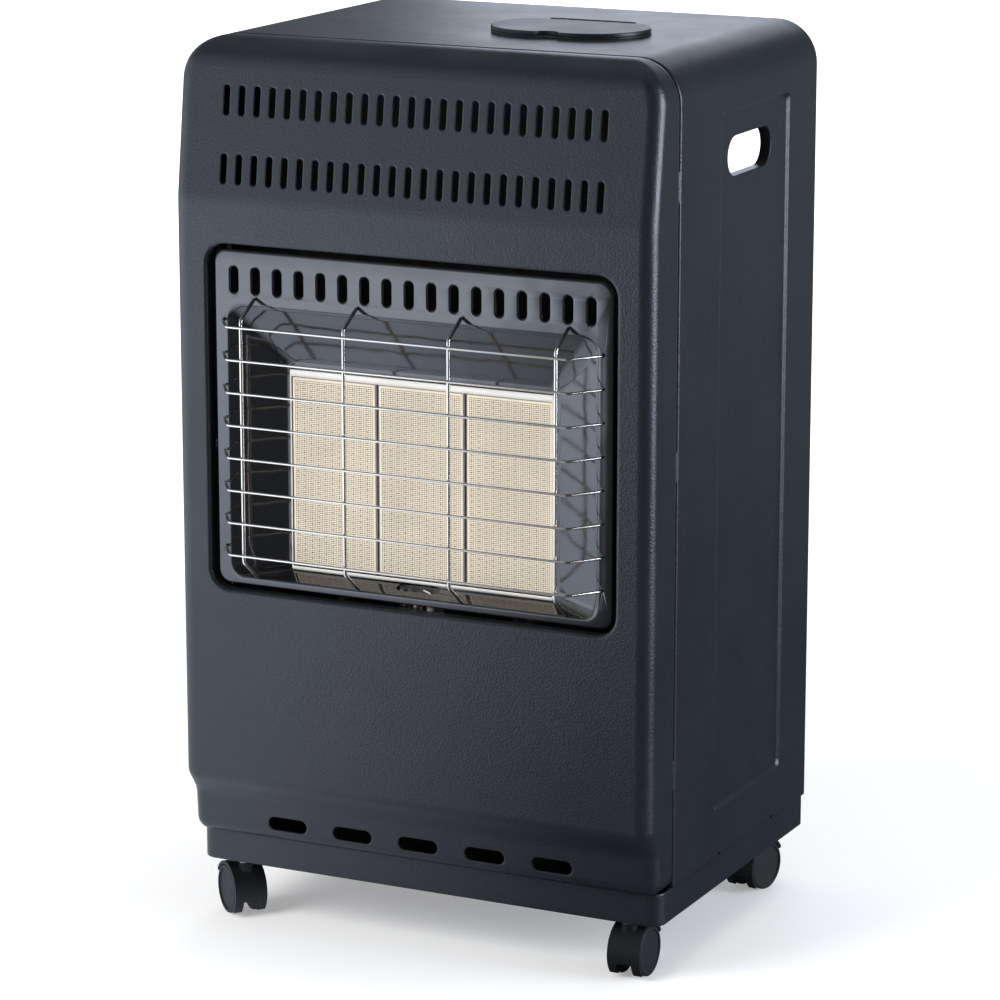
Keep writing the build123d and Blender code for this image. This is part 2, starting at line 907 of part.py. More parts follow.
def drawn_slots():
    """The row of upright slots above the reflector's mouth."""
    start = -(drawn_slot_count - 1) / 2 * drawn_slot_pitch
    cutters = []
    for i in range(drawn_slot_count):
        place = Pos(start + i * drawn_slot_pitch, drawn_slot_z) * Rot(0, 0, 90)
        slot = place * SlotOverall(drawn_slot_height, drawn_slot_width)
        cutters.append(front_shape(slot, reflector_face - overrun, reflector_face + overrun))
    return cutters


def hook_places():
    """Where the guard hooks into the reflector, as (x, z)."""
    x = guard_half_width + guard_end_spread
    return [(side * x, z) for side in (-1, 1) for z in (guard_bottom_row, guard_top_row)]


def reflector():
    side = window_width / 2 - window_clearance
    flange = front_rectangle(-side, side, window_bottom + window_clearance, window_top - window_clearance,
                             window_radius - window_clearance)
    body = front_shape(flange, reflector_face, reflector_face + reflector_sheet) + dish(reflector_sheet)
    back_side = dish_floor_width / 2 + reflector_sheet
    back = front_rectangle(-back_side, back_side, dish_floor_bottom - reflector_sheet,
                           dish_floor_top + reflector_sheet, dish_radius / 2 + reflector_sheet)
    body = body - dish(0)
    body = body + front_shape(back, reflector_back, reflector_back + reflector_sheet)
    reach = burner_row_width / 2 + plaque_fit
    hole = front_rectangle(-reach, reach, plaque_bottom - plaque_fit, plaque_top + plaque_fit,
                           plaque_hole_radius)
    body = body - front_shape(hole, reflector_back - cut_margin, reflector_back + overrun)
    oval = SlotOverall(pilot_opening_length, pilot_opening_depth)
    body = body - Pos(0, pilot_setback, dish_bottom - overrun) * extrude(oval, 2 * overrun)
    for x, z in hook_places():
        start, end = (x, reflector_face - overrun, z), (x, reflector_face + overrun, z)
        body = body - rod(thin_wire / 2 + hook_clearance, start, end)
    return body - drawn_slots()


def guard_row(z, hooked):
    """One thin wire across, its ends bent back to the reflector."""
    face, back = -guard_reach, reflector_face - guard_standoff
    outer = guard_half_width + guard_end_spread
    inner = guard_half_width
    points = [(-outer, back, z), (-inner, face, z), (inner, face, z), (outer, back, z)]
    radii = [guard_bend_radius] * 2
    if hooked:
        tip = back + hook_length
        points = [(-outer, tip, z)] + points + [(outer, tip, z)]
        radii = [hook_bend_radius] + radii + [hook_bend_radius]
    return bent_rod(points, thin_wire / 2, radii)


def guard_column(x):
    """One thick wire down, behind the thin ones."""
    face = -guard_reach + (thin_wire + thick_wire) / 2 - weld_sink
    back = reflector_face - guard_standoff
    low, high = guard_bottom_row - guard_overrun, guard_top_row + guard_overrun
    points = [
        (x, back, low - guard_bottom_fall),
        (x, face, low),
        (x, face, high),
        (x, back, high + guard_top_rise),
    ]
    return bent_rod(points, thick_wire / 2, [guard_bend_radius] * 2)


def guard_grille():
    ends = (0, guard_rows - 1)
    rows = []
    for i in range(guard_rows):
        rows.append(guard_row(guard_bottom_row + i * guard_row_pitch, i in ends))
    start = -(guard_columns - 1) / 2 * guard_column_pitch
    columns = [guard_column(start + i * guard_column_pitch) for i in range(guard_columns)]
    return columns[0].fuse(*columns[1:], *rows)


# Burners ----------------------------------------------------------------------------------


def plaque(x):
    side = plaque_width / 2
    return block(x - side, x + side, reflector_back, plaque_back, plaque_bottom, plaque_top)


def burner_body(x):
    """Tray behind a plaque, with its venturi tube below."""
    fit, ledge = plaque_fit / 2, burner_ledge
    side = plaque_width / 2
    wall = burner_wall + fit
    front = reflector_back + reflector_sheet
    tray = block(x - side - wall, x + side + wall, front, burner_back,
                 plaque_bottom - wall, plaque_top + wall)
    seat = block(x - side - fit, x + side + fit, front - cut_margin, plaque_back,
                 plaque_bottom - fit, plaque_top + fit)
    chamber = block(x - side + ledge, x + side - ledge, plaque_back - cut_margin,
                    burner_back - burner_wall, plaque_bottom + ledge, plaque_top - ledge)
    low = plaque_bottom - venturi_length
    y = burner_axis_y
    tube = rod(venturi_radius, (x, y, low), (x, y, plaque_bottom))
    bore = rod(venturi_radius - venturi_wall, (x, y, low - cut_margin),
               (x, y, plaque_bottom + ledge + cut_margin))
    return tray + tube - seat - chamber - bore


def burner_frame():
    """Bright frame round the three plaques."""
    side = burner_row_width / 2 + burner_side_strip
    outer = front_rectangle(-side, side, plaque_bottom - burner_strip, plaque_top + burner_strip,
                            plaque_hole_radius)
    frame = front_shape(outer, reflector_back - burner_strip_thickness, reflector_back)
    reach = plaque_width / 2 - burner_frame_lap
    low, high = plaque_bottom + burner_frame_lap, plaque_top - burner_frame_lap
    for x in plaque_centres:
        frame = frame - block(x - reach, x + reach, reflector_back - overrun,
                              reflector_back + cut_margin, low, high)
    return frame


def manifold_end():
    """Half length of the gas manifold."""
    return plaque_centres[-1] + manifold_overhang


def gas_manifold():
    end = manifold_end()
    y, z = burner_axis_y, manifold_z
    inner_end = end - manifold_end_wall
    tube = rod(manifold_radius, (-end, y, z), (end, y, z))
    bore = rod(manifold_radius - manifold_wall, (-inner_end, y, z), (inner_end, y, z))
    ear_end = burner_row_width / 2 + burner_wall + burner_clearance + manifold_ear_lap
    for side in (-1, 1):
        tube = tube + side_block(side, end - manifold_ear_weld, ear_end, bulkhead_front - sheet,
                                 bulkhead_front, z - manifold_ear_drop,
                                 z - pipe_radius - manifold_ear_gap)
    tube = tube - bore - rod(pipe_radius, (end - manifold_socket, y, z), (end + cut_margin, y, z))
    for x in plaque_centres:
        top = z + manifold_radius + cut_margin
        tube = tube - rod(injector_spigot_radius, (x, y, z), (x, y, top))
    return tube


def burner_injectors():
    """Brass jets standing on the manifold under the venturi tubes."""
    jets = []
    top = plaque_bottom - venturi_length - injector_gap
    seat = manifold_z + manifold_radius
    low = seat - manifold_wall
    y = burner_axis_y
    for x in plaque_centres:
        hexagon = Pos(x, y, seat) * extrude(RegularPolygon(injector_radius, 6), top - seat)
        spigot = rod(injector_spigot_radius, (x, y, low), (x, y, seat + weld_sink))
        jet_bore = rod(jet_radius, (x, y, low - cut_margin), (x, y, top + cut_margin))
        jets.append(hexagon + spigot - jet_bore)
    return Compound(jets)


# Pilot group ------------------------------------------------------------------------------


def pilot_burner():
    """Pilot tube on a small shelf that hangs from the reflector."""
    back = reflector_back + reflector_sheet
    y, top = pilot_setback, pilot_top
    shelf_low = pilot_bottom + pilot_shelf_rise
    shelf_high = shelf_low + sheet
    wide = pilot_shelf_half
    plate_top = plaque_bottom - burner_wall - plaque_fit - cut_margin
    plate = block(-wide, wide, back, back + sheet, shelf_low, plate_top)
    shelf = block(-wide, wide, y - pilot_shelf_lap, back + sheet, shelf_low, shelf_high)
    tube = rod(pilot_tube_radius, (0, y, pilot_bottom), (0, y, top))
    bore = rod(pilot_pipe_radius, (0, y, pilot_bottom - cut_margin), (0, y, top - pilot_cap))
    mouth = block(-pilot_tube_radius, pilot_tube_radius, y + cut_margin,
                  y + pilot_tube_radius + cut_margin, top - cut_margin - pilot_mouth_height,
                  top - cut_margin)
    body = plate + shelf + tube - bore - mouth
    for x, radius in ((-probe_offset, probe_radius), (probe_offset, ceramic_radius)):
        start, end = (x, y, shelf_low - cut_margin), (x, y, shelf_high + cut_margin)
        body = body - rod(radius, start, end)
    return body


def thermocouple():
    """Probe beside the pilot with its lead up to the valve."""
    return bent_rod(thermocouple_route(), probe_radius, lead_bend)


def ignition_electrode():
    """Ceramic stick with a bent wire tip over the pilot."""
    x, y = probe_offset, pilot_setback
    high = electrode_low + ceramic_length
    bend = high + electrode_stand
    stick = rod(ceramic_radius, (x, y, electrode_low), (x, y, high))
    stick = chamfer(stick.edges().sort_by(Axis.Z)[-1], ceramic_chamfer)
    end = (x - electrode_reach, y, bend + electrode_slope)
    tip = [(x, y, high - electrode_sink), (x, y, bend), end]
    return stick + bent_rod(tip, electrode_radius, electrode_bend)


# Controls ---------------------------------------------------------------------------------


def knuckle_places():
    """Middle of each lid knuckle along the hinge."""
    return [control_x - knuckle_spacing / 2, control_x + knuckle_spacing / 2]


def hinge_rod(radius, x0, x1):
    """Round bar on the lid's axis."""
    return rod(radius, (x0, lid_axis_y, lid_axis_z), (x1, lid_axis_y, lid_axis_z))


def pin_span(middle):
    """Ends of the hinge pin whose knuckle is at middle."""
    reach = knuckle_width / 2 + side_fit + ear_width
    return middle - reach, middle + reach


def rear_half_plane(y0, z0, z1):
    """Slab behind y0, wide enough to trim the lid or bezel."""
    return block(control_x - lid_length, control_x + lid_length, y0, y0 + lid_width, z0, z1)


def lid_outline():
    """Plan of the lid and bezel."""
    return SlotOverall(lid_length, lid_width)


def bezel_ears():
    """Upright ears on the bezel that hold the hinge pins."""
    ears = []
    for middle in knuckle_places():
        for side in (-1, 1):
            near = middle + side * (knuckle_width / 2 + side_fit)
            far = near + side * ear_width
            low, high = min(near, far), max(near, far)
            ears.append(block(low, high, lid_axis_y - ear_radius, lid_axis_y + ear_radius,
                              height + ear_seat, lid_axis_z))
            ears.append(hinge_rod(ear_radius, low, high))
    return ears


def control_cup():
    bezel_top = height + bezel_thickness
    rim = plan_shape(lid_outline(), height, bezel_top)
    wall = plan_shape(cup_outline(cup_wall), cup_floor_bottom, bezel_top)
    hollow = plan_shape(cup_outline(0), cup_floor_top, bezel_top + cut_margin)
    raised = plan_shape(lid_outline(), height + bezel_thickness / 2, lid_top)
    raised = raised & rear_half_plane(lid_axis_y + lid_sweep, height, lid_top + cut_margin)
    cup = rim + wall - hollow + raised
    wide = knuckle_width / 2 + side_fit
    front, rear = lid_axis_y - pocket_half, lid_axis_y + pocket_half
    for middle in knuckle_places():
        cup = cup - block(middle - wide, middle + wide, front, rear,
                          height - cut_margin, bezel_top + cut_margin)
    cup = cup + bezel_ears()
    for middle in knuckle_places():
        cup = cup - hinge_rod(pin_radius, *pin_span(middle))
    low, high = cup_floor_bottom - cut_margin, cup_floor_top + cut_margin
    for x, radius in ((knob_x, spindle_radius), (button_x, button_stem_radius)):
        cup = cup - plan_shape(Circle(radius + button_fit), low, high, x)
    return cup


def lid_pins():
    return Compound([hinge_rod(pin_radius, *pin_span(middle)) for middle in knuckle_places()])


def control_lid():
    lid = plan_shape(lid_outline(), lid_bottom, lid_top)
    lid = fillet(lid.faces().sort_by(Axis.Z)[-1].edges(), lid_edge_radius)
    under, over = lid_bottom - cut_margin, lid_top + cut_margin
    lid = lid - rear_half_plane(lid_axis_y - lid_rear_gap, under, over)
    moon = (notch_half_length ** 2 + notch_reach ** 2) / (2 * notch_reach)
    front = control_depth - lid_width / 2
    centre = front + notch_reach - moon
    lid = lid - rod(moon, (control_x, centre, under), (control_x, centre, over))
    rear = lid_axis_y - lid_rear_gap - cut_margin
    knuckle_top = lid_axis_z + knuckle_radius - knuckle_drop
    for middle in knuckle_places():
        low, high = middle - knuckle_width / 2, middle + knuckle_width / 2
        lid = lid + hinge_rod(knuckle_radius, low, high)
        lid = lid + block(low, high, rear, lid_axis_y, lid_bottom, knuckle_top)
        lid = lid - hinge_rod(pin_radius + hinge_fit, low - cut_margin, high + cut_margin)
    return lid


def d_section(radius, flat):
    """Circle with one flat, as on a knob spindle."""
    return Circle(radius) - Pos(0, radius - flat + radius) * Rectangle(4 * radius, 2 * radius)


def knob_column(section, z0, z1):
    """Upright solid on the knob's axis."""
    return plan_shape(section, z0, z1, knob_x)


def valve_spindle():
    return knob_column(d_section(spindle_radius, spindle_flat), spindle_low, knob_bottom + spindle_seat)


def control_knob():
    top = knob_bottom + knob_height
    knob = knob_column(Circle(knob_radius), knob_bottom, top)
    knob = fillet(knob.edges().sort_by(Axis.Z)[-1], knob_edge_radius)
    outline = Rectangle(knob_grip_width, 2 * (knob_radius - knob_grip_inset))
    grip = knob_column(outline, top - cut_margin, top + knob_grip_height)
    grip = fillet(grip.edges().filter_by(Axis.Z), knob_grip_radius)
    seat = knob_column(d_section(spindle_radius, spindle_flat), knob_bottom - cut_margin,
                       knob_bottom + spindle_seat)
    return knob + grip - seat


def valve_plug():
    plug = knob_column(Circle(plug_radius), plug_top - plug_length, plug_top)
    plug = chamfer(plug.edges().sort_by(Axis.Z)[0], plug_chamfer)
    socket = d_section(spindle_radius + spindle_fit, spindle_flat)
    low = spindle_low - knob_travel - knob_spare
    return plug - knob_column(socket, low, plug_top + cut_margin)


def gas_valve_body():
    body = knob_column(Rectangle(valve_width, valve_depth), valve_bottom, valve_top)
    body = fillet(body.edges().filter_by(Axis.Z), valve_corner_radius)
    low, high = plug_top - plug_length - plug_fit, plug_top + plug_fit
    body = body - knob_column(Circle(plug_radius + plug_fit), low, high)
    body = body - knob_column(Circle(spindle_radius + button_fit), plug_top, valve_top + cut_margin)
    for start, end, radius in valve_ports():
        body = body - rod(radius, start, end)
    return body


def valve_ports():
    """Sockets in the valve body as (start, end, radius)."""
    front, rear = control_depth - valve_depth / 2, control_depth + valve_depth / 2
    left = knob_x - valve_width / 2
    x0, x1 = left - cut_margin, left + port_depth
    front_out, rear_out = front - cut_margin, rear + cut_margin
    seat_radius = nozzle_radius - nozzle_seat_inset
    z = port_z
    return [
        ((outlet_x, front_out, z), (outlet_x, front + port_depth, z), pipe_radius),
        ((knob_x, rear - port_depth, z), (knob_x, rear_out, z), seat_radius),
        ((x0, thermocouple_y, z), (x1, thermocouple_y, z), probe_radius),
        ((x0, pilot_y, z), (x1, pilot_y, z), pilot_pipe_radius),
    ]


def valve_bracket():
    """Cradle under the cabinet top that carries the valve and the igniter."""
    low, high = valve_top, valve_top + valve_plate
    reach = cup_inner_length / 2 + cup_wall + bracket_gap
    wide = valve_depth / 2
    left, right = control_x - reach, control_x + reach
    y0, y1 = control_depth - wide, control_depth + wide
    under = height - sheet
    cradle = block(left, right, y0, y1, low, high)
    foot_low = under - valve_plate
    cradle = cradle + block(left - valve_plate, left, y0, y1, low, under)
    cradle = cradle + block(right, right + valve_plate, y0, y1, low, under)
    cradle = cradle + block(left - bracket_foot, left, y0, y1, foot_low, under)
    cradle = cradle + block(right, right + bracket_foot, y0, y1, foot_low, under)
    z0, z1 = low - cut_margin, high + cut_margin
    cradle = cradle - knob_column(Circle(spindle_radius + button_fit), z0, z1)
    return cradle - plan_shape(Circle(piezo_radius), z0, z1, button_x)


def nozzle_rod(radius, y0, y1):
    """Round bar on the nozzle's axis."""
    return rod(radius, (knob_x, y0, port_z), (knob_x, y1, port_z))


def hose_nozzle():
    """Ribbed inlet that the gas hose pushes on to."""
    start = control_depth + valve_depth / 2
    base = start + nozzle_hex_length
    end = base + nozzle_length
    inner = start - port_depth
    seat = nozzle_rod(nozzle_radius - nozzle_seat_inset, inner, start + cut_margin)
    plane = Plane(origin=(knob_x, start, port_z), z_dir=(0, 1, 0))
    nozzle = seat + extrude(plane * RegularPolygon(nozzle_hex, nozzle_sides), nozzle_hex_length)
    nozzle = nozzle + nozzle_rod(nozzle_radius - nozzle_barb, base - cut_margin, end - cut_margin)
    nozzle = nozzle + nozzle_rod(nozzle_radius, end - nozzle_tip, end)
    pitch = (nozzle_length - nozzle_tip) / nozzle_ribs
    for i in range(nozzle_ribs):
        rib_y = base + (i + nozzle_rib_start) * pitch
        rib = Plane(origin=(knob_x, rib_y, port_z), z_dir=(0, 1, 0)) * Circle(nozzle_radius)
        nozzle = nozzle + extrude(rib, pitch * nozzle_rib_share, taper=nozzle_rib_taper)
    return nozzle - nozzle_rod(nozzle_bore, inner - cut_margin, end + cut_margin)


def piezo_body():
    body = plan_shape(Circle(piezo_radius), piezo_bottom, cup_floor_bottom, button_x)
    low = button_stem_low - button_travel - cut_margin
    body = body - plan_shape(Circle(button_stem_radius + button_fit), low,
                             cup_floor_bottom + cut_margin, button_x)
    return body - plan_shape(Circle(lead_radius), piezo_bottom - cut_margin,
                             piezo_bottom + port_depth, button_x)


def piezo_button():
    bottom = cup_floor_top + button_travel + button_spare
    cap = plan_shape(Circle(button_radius), bottom, bottom + button_rise, button_x)
    cap = fillet(cap.edges().sort_by(Axis.Z)[-1], button_edge_radius)
    stem = plan_shape(Circle(button_stem_radius), button_stem_low, bottom + weld_sink, button_x)
    return cap + stem


# Pipes and leads --------------------------------------------------------------------------


def burner_pipe():
    """Pipe from the valve to the end of the manifold."""
    front = control_depth - valve_depth / 2
    points = [
        (outlet_x, front + port_depth, port_z),
        (outlet_x, feed_y, port_z),
        (feed_x, feed_y, port_z),
        (feed_x, feed_y, manifold_z),
        (feed_turn_x, feed_y, manifold_z),
        (feed_turn_x, burner_axis_y, manifold_z),
        (manifold_end() - manifold_socket, burner_axis_y, manifold_z),
    ]
    return bent_rod(points, pipe_radius, [feed_bend] * 3 + [feed_low_bend, feed_end_bend])


def left_route(start_y, x, z, side_x, low, end_x):
    """Way from the valve's left side, down behind the cover, to the pilot."""
    left = knob_x - valve_width / 2
    return [
        (left + port_depth, start_y, port_z),
        (x, start_y, port_z),
        (x, feed_y, z),
        (side_x, feed_y, z),
        (side_x, lead_y, z),
        (side_x, lead_y, low),
        (end_x, lead_y, low),
        (end_x, pilot_setback, low),
    ]


def thermocouple_route():
    points = left_route(thermocouple_y, -thermocouple_turn_x, thermocouple_z, -lead_side_x,
                        thermocouple_low, -probe_offset)
    tip = electrode_low + ceramic_length + probe_tip_rise
    return points + [(-probe_offset, pilot_setback, tip)]


def pilot_pipe():
    points = left_route(pilot_y, -pilot_pipe_turn_x, pilot_pipe_z, -pilot_pipe_side_x, lead_low, 0.0)
    points.append((0, pilot_setback, pilot_bottom + pilot_shelf_rise))
    return bent_rod(points, pilot_pipe_radius, lead_bend)


def ignition_lead():
    turn = piezo_bottom - lead_turn_drop
    points = [
        (button_x, control_depth, piezo_bottom + port_depth),
        (button_x, control_depth, piezo_bottom - lead_drop),
        (button_x, lead_back_y, turn),
        (lead_side_x, lead_back_y, turn),
        (lead_side_x, lead_y, turn),
        (lead_side_x, lead_y, lead_low),
        (probe_offset, lead_y, lead_low),
        (probe_offset, pilot_setback, lead_low),
        (probe_offset, pilot_setback, electrode_low),
    ]
    return bent_rod(points, lead_radius, lead_bend)


def lead_holes():
    """Holes in the bulkhead for the leads and the pilot pipe, as (x, z, radius)."""
    free = lead_hole_clearance
    return [
        (-lead_side_x, thermocouple_z, probe_radius + free),
        (-pilot_pipe_side_x, pilot_pipe_z, pilot_pipe_radius + free),
        (lead_side_x, piezo_bottom - lead_turn_drop, lead_radius + free),
    ]


# Rear cover -------------------------------------------------------------------------------


def rear_cover():
    side = rear_cover_half_width
    plate = front_rectangle(-side, side, rear_cover_bottom, rear_cover_top, rear_cover_radius)
    inner_face = cabinet_depth - sheet
    panel = front_shape(plate, inner_face, cabinet_depth)
    start = -(rear_vent_count - 1) / 2 * rear_vent_pitch
    for level in rear_vent_levels:
        for i in range(rear_vent_count):
            place = Pos(start + i * rear_vent_pitch, level)
            slot = place * SlotOverall(rear_vent_length, rear_vent_height)
            panel = panel - front_shape(slot, inner_face - cut_margin, cabinet_depth + cut_margin)
    leg_back = rear_flange_front - hook_back_gap
    for x_side in (-1, 1):
        x = x_side * (side - rear_flange_inset)
        low, high = x - hook_width / 2, x + hook_width / 2
        for level in hook_levels:
            panel = panel + block(low, high, leg_back - sheet, inner_face + sheet / 2,
                                  level, level + sheet)
            panel = panel + block(low, high, leg_back - sheet, leg_back,
                                  level - hook_drop, level + sheet)
    return panel


# Casters ----------------------------------------------------------------------------------


def ring_sector(inner, outer, start, end, x0, x1):
    """Part of a ring about the axle between two angles, from x0 to x1."""
    reach = outer * wedge_reach
    points = [(0, 0)]
    for i in range(wedge_steps + 1):
        a = radians(start + (end - start) * i / wedge_steps)
        points.append((reach * cos(a), reach * sin(a)))
    wedge = make_face(Polyline(*points, close=True))
    ring = Circle(outer) & wedge
    if inner > 0:
        ring = ring - Circle(inner)
    plane = Plane(origin=(x0, caster_trail, wheel_radius), x_dir=(0, 1, 0), z_dir=(1, 0, 0))
    return extrude(plane * ring, x1 - x0)


def axle_disc(radius, x0, x1):
    """Disc on the caster's axle."""
    return rod(radius, (x0, caster_trail, wheel_radius), (x1, caster_trail, wheel_radius))


def caster_hood():
    """Body between the wheels with a fender over them and the stem's boss."""
    inner = wheel_radius + hood_gap
    outer = inner + hood_thickness
    side = caster_width / 2
    web = side - wheel_width - web_side_gap
    hood = ring_sector(inner, outer, hood_back_angle, notch_front_angle, -side, side)
    lap_angle = notch_front_angle - hood_lap_angle
    for x0, x1 in ((-side, -web), (web, side)):
        hood = hood + ring_sector(inner, outer, lap_angle, hood_front_angle, x0, x1)
    middle = ring_sector(0, outer - web_inset, hood_back_angle, notch_front_angle, -web, web)
    hood = hood + middle + axle_disc(wheel_radius * web_disc_share, -web, web)
    hood = hood + rod(stem_boss_radius, (0, 0, stem_bottom - stem_foot), (0, 0, stem_boss_top))
    hood = hood - rod(stem_radius, (0, 0, stem_bottom), (0, 0, stem_boss_top + cut_margin))
    return hood - axle_disc(axle_radius, -side, side)


def caster_stem():
    stem = rod(stem_radius, (0, 0, stem_bottom), (0, 0, stem_top))
    stem = chamfer(stem.edges().sort_by(Axis.Z)[-1], stem_chamfer)
    collar_top = socket_low - stem_collar_gap
    return stem + rod(stem_collar_radius, (0, 0, stem_boss_top), (0, 0, collar_top))


def caster_axle():
    end = caster_width / 2 - wheel_cap - axle_end_gap
    return axle_disc(axle_radius, -end, end)


def caster_wheel(side):
    """One wheel; side is -1 or 1 along the axle."""
    inner, outer = side * (caster_width / 2 - wheel_width), side * caster_width / 2
    wheel = axle_disc(wheel_radius, inner, outer)
    wheel = fillet(wheel.edges().filter_by(GeomType.CIRCLE), wheel_edge_radius)
    wheel = wheel - axle_disc(wheel_radius - wheel_rim, outer - side * wheel_dish, outer + side)
    return wheel - axle_disc(axle_radius + axle_fit, inner - side, outer - side * wheel_cap)


def caster_socket(x, y):
    """Bush pushed up into the base, that the caster's stem turns in."""
    socket = rod(socket_radius, (x, y, socket_low), (x, y, base_bottom + socket_height))
    socket = socket + rod(socket_flange_radius, (x, y, socket_low), (x, y, base_bottom))
    low, high = socket_low - cut_margin, stem_top + cut_margin
    return socket - rod(stem_radius + stem_fit, (x, y, low), (x, y, high))


def save_caster(place, side, y, turn):
    """Write the pieces of one caster, turned and set in its place."""
    spot = Pos(side * caster_x, y, 0) * Rot(0, 0, turn)
    save(f"caster_socket_{place}", caster_socket(side * caster_x, y))
    save(f"caster_hood_{place}", spot * caster_hood())
    save(f"caster_stem_{place}", spot * caster_stem())
    save(f"caster_axle_{place}", spot * caster_axle())
    for label, end in (("left", -1), ("right", 1)):
        save(f"caster_wheel_{place}_{label}", spot * caster_wheel(end))


def save(name, shape):
    """Move a piece under the shared origin and write it."""
    os.makedirs("parts", exist_ok=True)
    export_step(Pos(0, shift_y, 0) * shape, f"parts/{name}.step")


def main():
    save("front_cover", front_cover())
    save("cabinet_shell", cabinet_shell())
    save("base_tray", base_tray())
    save("bulkhead", bulkhead())
    save("bulkhead_screws", bulkhead_screws())
    save("heat_shield", heat_shield())
    save("reflector", reflector())
    save("guard_grille", guard_grille())
    for name, x in zip(("left", "middle", "right"), plaque_centres):
        save(f"ceramic_plaque_{name}", plaque(x))
        save(f"burner_body_{name}", burner_body(x))
    save("burner_frame", burner_frame())
    save("gas_manifold", gas_manifold())
    save("burner_injectors", burner_injectors())
    save("pilot_burner", pilot_burner())
    save("thermocouple", thermocouple())
    save("ignition_electrode", ignition_electrode())
    save("ignition_lead", ignition_lead())
    save("pilot_pipe", pilot_pipe())
    save("burner_pipe", burner_pipe())
    save("gas_valve_body", gas_valve_body())
    save("valve_bracket", valve_bracket())
    save("valve_plug", valve_plug())
    save("valve_spindle", valve_spindle())
    save("control_knob", control_knob())
    save("hose_nozzle", hose_nozzle())
    save("piezo_body", piezo_body())
    save("piezo_button", piezo_button())
    save("control_cup", control_cup())
    save("control_lid", control_lid())
    save("lid_pins", lid_pins())
    save("rear_cover", rear_cover())
    for place, (side, y, turn) in caster_places.items():
        save_caster(place, side, y, turn)


if __name__ == "__main__":
    main()
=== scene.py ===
import math

import bmesh
import bpy
from bpy.props import FloatProperty, FloatVectorProperty, IntProperty, PointerProperty
from mathutils import Matrix, Vector


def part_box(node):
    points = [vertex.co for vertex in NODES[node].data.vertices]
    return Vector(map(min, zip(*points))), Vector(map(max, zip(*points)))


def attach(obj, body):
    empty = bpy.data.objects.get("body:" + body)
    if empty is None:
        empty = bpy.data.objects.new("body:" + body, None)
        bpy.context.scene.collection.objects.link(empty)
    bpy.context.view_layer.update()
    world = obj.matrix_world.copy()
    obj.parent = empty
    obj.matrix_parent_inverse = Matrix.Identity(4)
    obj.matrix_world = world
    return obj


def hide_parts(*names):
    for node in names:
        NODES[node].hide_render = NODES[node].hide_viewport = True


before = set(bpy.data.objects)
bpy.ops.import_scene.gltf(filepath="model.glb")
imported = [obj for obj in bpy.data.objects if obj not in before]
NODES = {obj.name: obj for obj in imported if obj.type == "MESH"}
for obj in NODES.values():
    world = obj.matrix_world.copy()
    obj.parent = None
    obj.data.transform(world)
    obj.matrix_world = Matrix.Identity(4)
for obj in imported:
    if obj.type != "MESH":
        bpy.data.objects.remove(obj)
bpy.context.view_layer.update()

bl_info = {
    "name": "Gas cabinet heater",
    "version": (1, 0, 0),
    "blender": (4, 5, 0),
    "location": "3D View > Sidebar > Heater",
    "description": "Finishes and fine pieces for a gas cabinet heater",
    "category": "Object",
}

CASTERS = ("front_left", "front_right", "rear_left", "rear_right")
BURNERS = ("left", "middle", "right")
ACROSS, UP, FRONT = Vector((1, 0, 0)), Vector((0, 0, 1)), Vector((0, -1, 0))

# The stage, in metres and radians. The lamps have a place and a size, and aim at one point.
LAMPS = {
    "key": ((-1.7, -2.6, 2.3), (2.0, 2.0)),
    "strip": ((2.85, 0.45, 0.8), (1.6, 1.9)),
    "top": ((0.2, 0.6, 2.6), (1.8, 1.8)),
    "back": ((-0.6, 2.5, 1.25), (1.3, 1.0)),
}
LAMP_AIM = Vector((0.0, 0.0, 0.4))
CAMERA_PLACE = (1.45065, -2.96016, 1.13621)
CAMERA_YAW, CAMERA_PITCH = 0.454, 0.234
SENSOR_WIDTH = 36.0                 # in millimetres
FLOOR_RADIUS = 30.0
LIT_SIDE = (-0.935, 0.355, 0.0)     # towards the bright side of the room that gloss shows
ABOVE, BEHIND = 3.0, 4.0            # how many times dark_side the room shows there

# Finishes
WHITE, BLACK = (1.0, 1.0, 1.0, 1.0), (0.0, 0.0, 0.0, 1.0)
DUST, BAKED_DUST = (0.32, 0.31, 0.29, 1.0), (0.3, 0.29, 0.27, 1.0)
DARK_PATCH, LIGHT_PATCH = 0.92, 1.08        # a coat's shades, as factors of its colour
SPECKLE_SHADE, RUBBED_SHADE = 2.2, 2.4
SPECKLE_SHARE = 0.3
GLOSS_CHANGE = 0.05                 # how far a coat's roughness goes either way
LINE_ROUGHNESS, LINE_DEPTH = 0.12, 0.00004  # what drawn lines add to metal
FACTOR, FIRST, SECOND, MIXED = 0, 6, 7, 2   # sockets of a Mix node that mixes colours

# Shapes
IN_HOLE, HOLE_MARK = 1, 2           # material slot inside holes, and a mark used meanwhile
CUT_CORNER = 0.29                   # share of a square's side, which leaves eight sides
FULL_ROUND = 0.998                  # share of half a side, so that no edge gets length zero
WIRE_SIDES, BEND_STEPS = 12, 5
WELD_SHAPE = (1.35, 0.8, 1.0)
WELD_SINK = 0.0002                  # how far welded wires go into each other
NEAR = 1e-6


# Sizes and colours ------------------------------------------------------------------------


def colour(name, text, default):
    return FloatVectorProperty(name=name, description=text, subtype="COLOR", size=3,
                               min=0.0, max=1.0, default=default)


def length(name, text, default):
    return FloatProperty(name=name, description=text, unit="LENGTH", min=0.0, default=default)


def plain(name, text, default):
    return FloatProperty(name=name, description=text, min=0.0, default=default)


def whole(name, text, default, least=1):
    return IntProperty(name=name, description=text, min=least, default=default)


